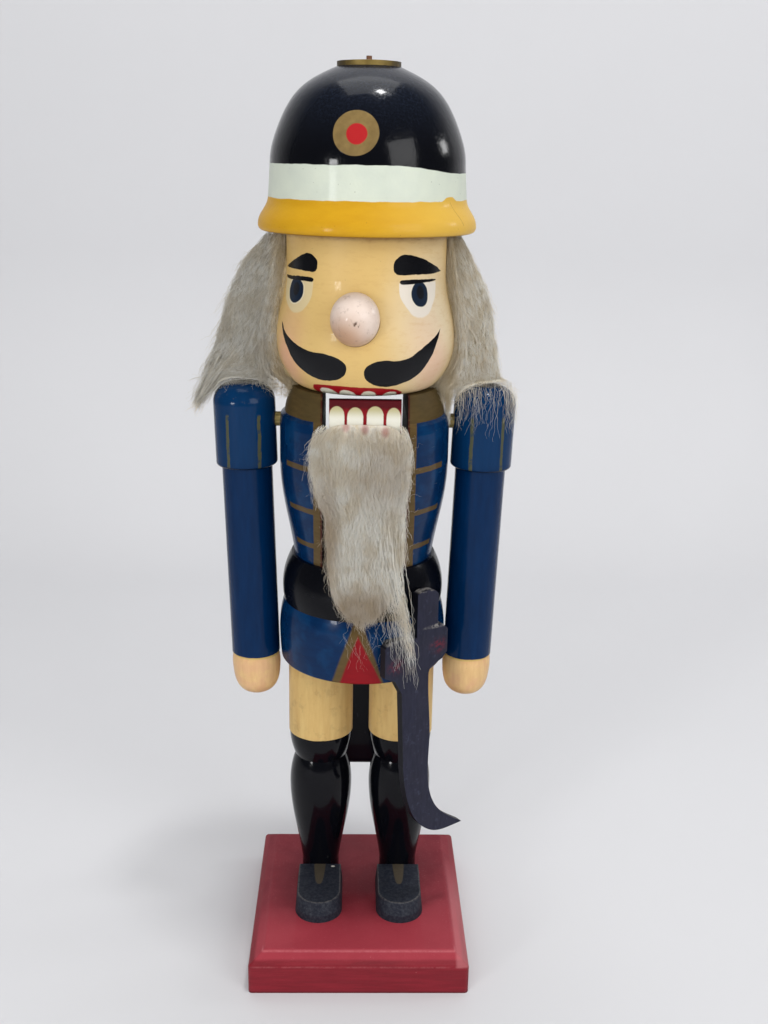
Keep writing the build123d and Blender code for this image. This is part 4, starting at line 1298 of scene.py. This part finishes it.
def wisp_paths(chance, strands):
    """Long fine strands from the beard's lower right that sweep down over the skirt and sword."""
    draw = Draws(chance, strands)
    along = np.linspace(0, 1, 2 * POINTS)[None, :]
    root = draw.even(180.0, 206.0)
    begin = draw.bell(9.5, 2.8)
    stray = draw.some(0.25)
    tip = 134.0 + 36.0 * draw.even() ** 1.1
    tip = np.where(stray, draw.even(148.0, 172.0), tip)
    end = 20.3 - (tip - 146.0) * 0.17 + draw.bell(0.0, 1.8)
    end = np.where(stray, begin + draw.bell(1.0, 2.2), end)
    height = root + (tip - root) * along
    x = begin + (end - begin) * ease(along * 0.9 + 0.05)
    depth = np.interp(height, *zip(*BEARD_DEPTH)) + draw.even(-0.8, 1.2)
    over_sword = (x > 3.0) & (height < 175.0)
    depth = np.where(over_sword, np.maximum(depth, 42.6 - 0.16 * np.abs(x - 12.0)), depth)
    paths = np.stack([x, -depth, height], axis=-1)
    paths = gather(chance, paths, strands // 12, 0.5)
    paths = curl(chance, paths, 0.6, 7.0)
    return keep_off_torso(paths)


def stray_paths(chance, strands):
    """Loose curls as fine as dust round the beard, and below it over the belt and skirt."""
    draw = Draws(chance, strands)
    along = np.linspace(0, 1, POINTS)[None, :]
    side = np.where(draw.some(0.5), -1.0, 1.0)
    low = draw.some(0.2)
    root = draw.either(low, (152.0, 168.0), (176.0, 239.0))
    left, right = (np.interp(root, *zip(*edge)) for edge in (BEARD_LEFT, BEARD_RIGHT))
    start = np.where(low, draw.even(-9.0, 14.0), np.where(side < 0, left + 1.5, right - 1.5))
    swing = np.where(low, draw.bell(0.0, 4.0), side * np.abs(draw.bell(1.5, 2.6)))
    drop = np.where(low, draw.even(4.0, 15.0), draw.bell(1.5, 3.0))
    x = start + swing * along
    height = root - drop * along
    depth = np.sqrt(radius_at(TORSO_OUTLINE, height - SKIRT_HEM) ** 2 - x**2) + 0.5
    depth += np.maximum(np.interp(root, *zip(*BEARD_DEPTH)) - 1.5 - depth, 0.0) * (1 - along)
    paths = curl(chance, np.stack([x, -depth, height], axis=-1), 0.8, 6.0)
    return keep_off_torso(paths)


class PieceOperator(bpy.types.Operator):
    """What the operators of this figure share."""

    bl_options = {"REGISTER", "UNDO"}


class NUTCRACKER_OT_base(PieceOperator):
    """Paint the base and the shoes"""

    bl_idname = "nutcracker.base"
    bl_label = "Base and Shoes"

    def execute(self, context):
        dress(base_paint(), "base")
        dress(shoe_paint(), "shoe_left", "shoe_right")
        return {"FINISHED"}


class NUTCRACKER_OT_legs(PieceOperator):
    """Paint the trousers and boots"""

    bl_idname = "nutcracker.legs"
    bl_label = "Legs"

    def execute(self, context):
        dress(leg_paint(), "leg_left", "leg_right")
        return {"FINISHED"}


class NUTCRACKER_OT_torso(PieceOperator):
    """Paint the jacket, belt and skirt"""

    bl_idname = "nutcracker.torso"
    bl_label = "Torso"

    def execute(self, context):
        dress(torso_paint(), "torso")
        return {"FINISHED"}


class NUTCRACKER_OT_lever(PieceOperator):
    """Paint the jaw lever and its teeth"""

    bl_idname = "nutcracker.lever"
    bl_label = "Jaw Lever"

    def execute(self, context):
        dress(lever_paint(), "lever")
        return {"FINISHED"}


class NUTCRACKER_OT_head(PieceOperator):
    """Paint the face and nose"""

    bl_idname = "nutcracker.head"
    bl_label = "Head and Nose"

    def execute(self, context):
        dress(face_paint(), "head")
        dress(nose_paint(), "nose")
        return {"FINISHED"}


class NUTCRACKER_OT_helmet(PieceOperator):
    """Paint the helmet and its crown"""

    bl_idname = "nutcracker.helmet"
    bl_label = "Helmet"

    def execute(self, context):
        dress(helmet_paint(), "helmet")
        dress(crown_paint(), "crown_disc", "crown_peg")
        return {"FINISHED"}


class NUTCRACKER_OT_arms(PieceOperator):
    """Paint the sleeves and leave the hands bare"""

    bl_idname = "nutcracker.arms"
    bl_label = "Arms"

    def execute(self, context):
        dress(sleeve_paint(-1), "arm_left")
        dress(sleeve_paint(1), "arm_right")
        return {"FINISHED"}


class NUTCRACKER_OT_fixings(PieceOperator):
    """Finish the dowels and pin"""

    bl_idname = "nutcracker.fixings"
    bl_label = "Dowels and Pin"

    def execute(self, context):
        dress(bare_wood(), *(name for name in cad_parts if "dowel" in name))
        dress(pin_steel(), "pivot_pin")
        return {"FINISHED"}


class NUTCRACKER_OT_sword(PieceOperator):
    """Paint the sword"""

    bl_idname = "nutcracker.sword"
    bl_label = "Sword"

    def execute(self, context):
        dress(sword_paint(), "sword", "sword_peg")
        return {"FINISHED"}


class NUTCRACKER_OT_hair(PieceOperator):
    """Grow the hair at both sides and behind the head"""

    bl_idname = "nutcracker.hair"
    bl_label = "Hair"

    def execute(self, context):
        wool = bpy.data.materials.get("fleece") or fleece()
        for node, side, turns, tufts, seed in (
            ("hair_left", -1, (FLEECE_FRONT[-1], 150.0), 2, 11),
            ("hair_right", 1, (FLEECE_FRONT[1], 150.0), 2, 12),
            ("hair_back", 0, (140.0, 220.0), 1, 13),
        ):
            chance = np.random.default_rng(seed)
            pieces = [pad_mesh(node + "_pad", hair_pad(side, turns), wool)]
            for number in range(tufts):
                paths = hair_paths(chance, sizes().tuft_strands, side, turns)
                pieces.append(fur_piece(chance, f"{node}_tuft_{number + 1}", paths, wool))
            if side:
                paths = lock_paths(chance, sizes().lock_strands // (1 if side < 0 else 3), side)
                pieces.append(fur_piece(chance, node + "_locks", paths, wool))
                paths = fringe_paths(chance, sizes().lock_strands * (2 if side < 0 else 1), side)
                fringe = fur_piece(chance, node + "_fringe", paths, wool, 0.6, 0.45)
                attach(fringe, "left_arm" if side < 0 else "right_arm")
            for piece in pieces:
                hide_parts(node)
                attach(piece, "figure")
        return {"FINISHED"}


class NUTCRACKER_OT_beard(PieceOperator):
    """Grow the beard on the jaw"""

    bl_idname = "nutcracker.beard"
    bl_label = "Beard"

    def execute(self, context):
        wool = bpy.data.materials.get("fleece") or fleece()
        chance = np.random.default_rng(21)
        pieces = [pad_mesh("beard_pad", beard_pad, wool, 0.55)]
        for number in range(3):
            paths = beard_paths(chance, sizes().tuft_strands)
            pieces.append(fur_piece(chance, f"beard_tuft_{number + 1}", paths, wool, 0.85, 0.86))
        wisps = wisp_paths(chance, sizes().wisp_strands)
        pieces.append(fur_piece(chance, "beard_wisps", wisps, wool, 0.9, 0.95))
        strays = stray_paths(chance, sizes().wisp_strands * 2 // 3)
        pieces.append(fur_piece(chance, "beard_strays", strays, wool, 0.38, 0.8))
        for piece in pieces:
            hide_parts("beard")
            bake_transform(piece)
        return {"FINISHED"}


# The stage in metres: half the floor's width, its fold, and what the lights aim at
FLOOR_HALF = 3.0
FOLD = 0.25
AIM = Vector((0, 0, 0.2))
ROOM_COLOUR = (0.92, 0.94, 1.0, 1.0)
ROOM_STRENGTH = 0.12

# The photograph's camera, in millimetres and radians, and its picture size in pixels
CAMERA_PLACE = (-3.822, -485.544, 345.725)
CAMERA_PITCH = 0.295
CAMERA_YAW = -0.026
CAMERA_ROLL = -0.018
FOCAL_PIXELS = 1184.045
PICTURE_HEIGHT = 1024
SENSOR = 36.0


class NUTCRACKER_OT_stage(PieceOperator):
    """Set the floor, the backdrop, the lights and the camera"""

    bl_idname = "nutcracker.stage"
    bl_label = "Stage"

    def execute(self, context):
        self.floor_and_backdrop()
        self.lights(context.scene)
        self.camera(context.scene)
        context.scene.view_settings.view_transform = "Standard"
        return {"FINISHED"}

    def floor_and_backdrop(self):
        """A floor that bends up into the backdrop."""
        paint = Paint("stage", colours().floor)
        paint.over((203.4, 203.4, 204.9), paint.noise(120.0, 2.0) * 0.2)
        form = bmesh.new()
        bmesh.ops.create_grid(form, x_segments=1, y_segments=1, size=FLOOR_HALF)
        back = [edge for edge in form.edges if all(v.co.y > 0 for v in edge.verts)]
        for vertex in form.verts:
            if vertex.co.y > 0:
                vertex.co.y = sizes().backdrop
        raised = bmesh.ops.extrude_edge_only(form, edges=back)["geom"]
        top = [v for v in raised if isinstance(v, bmesh.types.BMVert)]
        bmesh.ops.translate(form, verts=top, vec=(0, 0, FLOOR_HALF))
        fold = [
            edge for edge in form.edges if all(v.co.y > 0 and v.co.z < MM for v in edge.verts)
        ]
        bmesh.ops.bevel(
            form, geom=fold, offset=FOLD, offset_type="OFFSET", segments=16, profile=0.5,
            affect="EDGES", material=-1,
        )
        new_object("backdrop", mesh_of(form, "backdrop", paint.finish(0.85)))

    def lights(self, scene):
        """Area lights as (name, place, width, watts), and a dim room."""
        for name, place, width, power in (
            ("front_light", (-0.3, -1.5, 1.15), 1.5, 15.5),
            ("side_light", (1.0, -1.15, 0.8), 0.9, 9.5),
            ("lamp_light", (-1.0, -1.2, 0.38), 0.24, 5.5),
            ("window_light", (0.25, -0.15, 1.75), 0.17, 6.0),
            ("rim_light", (1.35, 0.3, 0.75), 0.25, 2.5),
            ("top_light", (0.0, 0.2, 1.7), 1.0, 7.0),
        ):
            light = bpy.data.lights.new(name, "AREA")
            light.energy = power
            light.size = width
            lamp = new_object(name, light)
            lamp.location = place
            lamp.rotation_euler = (AIM - lamp.location).to_track_quat("-Z", "Y").to_euler()
            lamp.visible_glossy = name != "front_light"
        world = bpy.data.worlds.new("soft_room")
        world.use_nodes = True
        background = world.node_tree.nodes["Background"]
        background.inputs["Color"].default_value = ROOM_COLOUR
        background.inputs["Strength"].default_value = ROOM_STRENGTH
        scene.world = world

    def camera(self, scene):
        """The camera that took the photograph."""
        pitch, yaw, roll = CAMERA_PITCH, CAMERA_YAW, CAMERA_ROLL
        right = Vector((math.cos(yaw), math.sin(yaw), 0))
        level_ahead = Vector((-math.sin(yaw), math.cos(yaw), 0))
        up = level_ahead * math.sin(pitch) + Vector((0, 0, math.cos(pitch)))
        ahead = level_ahead * math.cos(pitch) - Vector((0, 0, math.sin(pitch)))
        turned_right = right * math.cos(roll) - up * math.sin(roll)
        turned_up = right * math.sin(roll) + up * math.cos(roll)
        lens = bpy.data.cameras.new("camera")
        lens.sensor_width = SENSOR
        lens.lens = SENSOR * FOCAL_PIXELS / PICTURE_HEIGHT
        lens.clip_start = 0.01
        view = new_object("camera", lens)
        basis = Matrix((turned_right, turned_up, -ahead)).transposed().to_4x4()
        basis.translation = Vector(CAMERA_PLACE) * MM
        view.matrix_world = basis
        scene.camera = view


OPERATORS = (
    NUTCRACKER_OT_stage,
    NUTCRACKER_OT_base,
    NUTCRACKER_OT_legs,
    NUTCRACKER_OT_torso,
    NUTCRACKER_OT_lever,
    NUTCRACKER_OT_head,
    NUTCRACKER_OT_helmet,
    NUTCRACKER_OT_arms,
    NUTCRACKER_OT_fixings,
    NUTCRACKER_OT_sword,
    NUTCRACKER_OT_hair,
    NUTCRACKER_OT_beard,
)


class NUTCRACKER_PT_panel(bpy.types.Panel):
    """The figure's pieces, sizes and colours"""

    bl_idname = "NUTCRACKER_PT_panel"
    bl_label = "Nutcracker"
    bl_space_type = "VIEW_3D"
    bl_region_type = "UI"
    bl_category = "Nutcracker"

    def draw(self, context):
        layout = self.layout
        for operator in OPERATORS:
            layout.operator(operator.bl_idname)
        for group in (context.scene.nutcracker_sizes, context.scene.nutcracker_colours):
            box = layout.box()
            for name in group.__annotations__:
                box.prop(group, name)


CLASSES = (NutcrackerColours, NutcrackerSizes, *OPERATORS, NUTCRACKER_PT_panel)


def register():
    for item in CLASSES:
        bpy.utils.register_class(item)
    bpy.types.Scene.nutcracker_colours = bpy.props.PointerProperty(type=NutcrackerColours)
    bpy.types.Scene.nutcracker_sizes = bpy.props.PointerProperty(type=NutcrackerSizes)


def unregister():
    del bpy.types.Scene.nutcracker_sizes
    del bpy.types.Scene.nutcracker_colours
    for item in reversed(CLASSES):
        bpy.utils.unregister_class(item)


def main():
    register()
    for operator in OPERATORS:
        group, name = operator.bl_idname.split(".")
        getattr(getattr(bpy.ops, group), name)()
    bpy.context.view_layer.update()


if __name__ == "__main__":
    main()
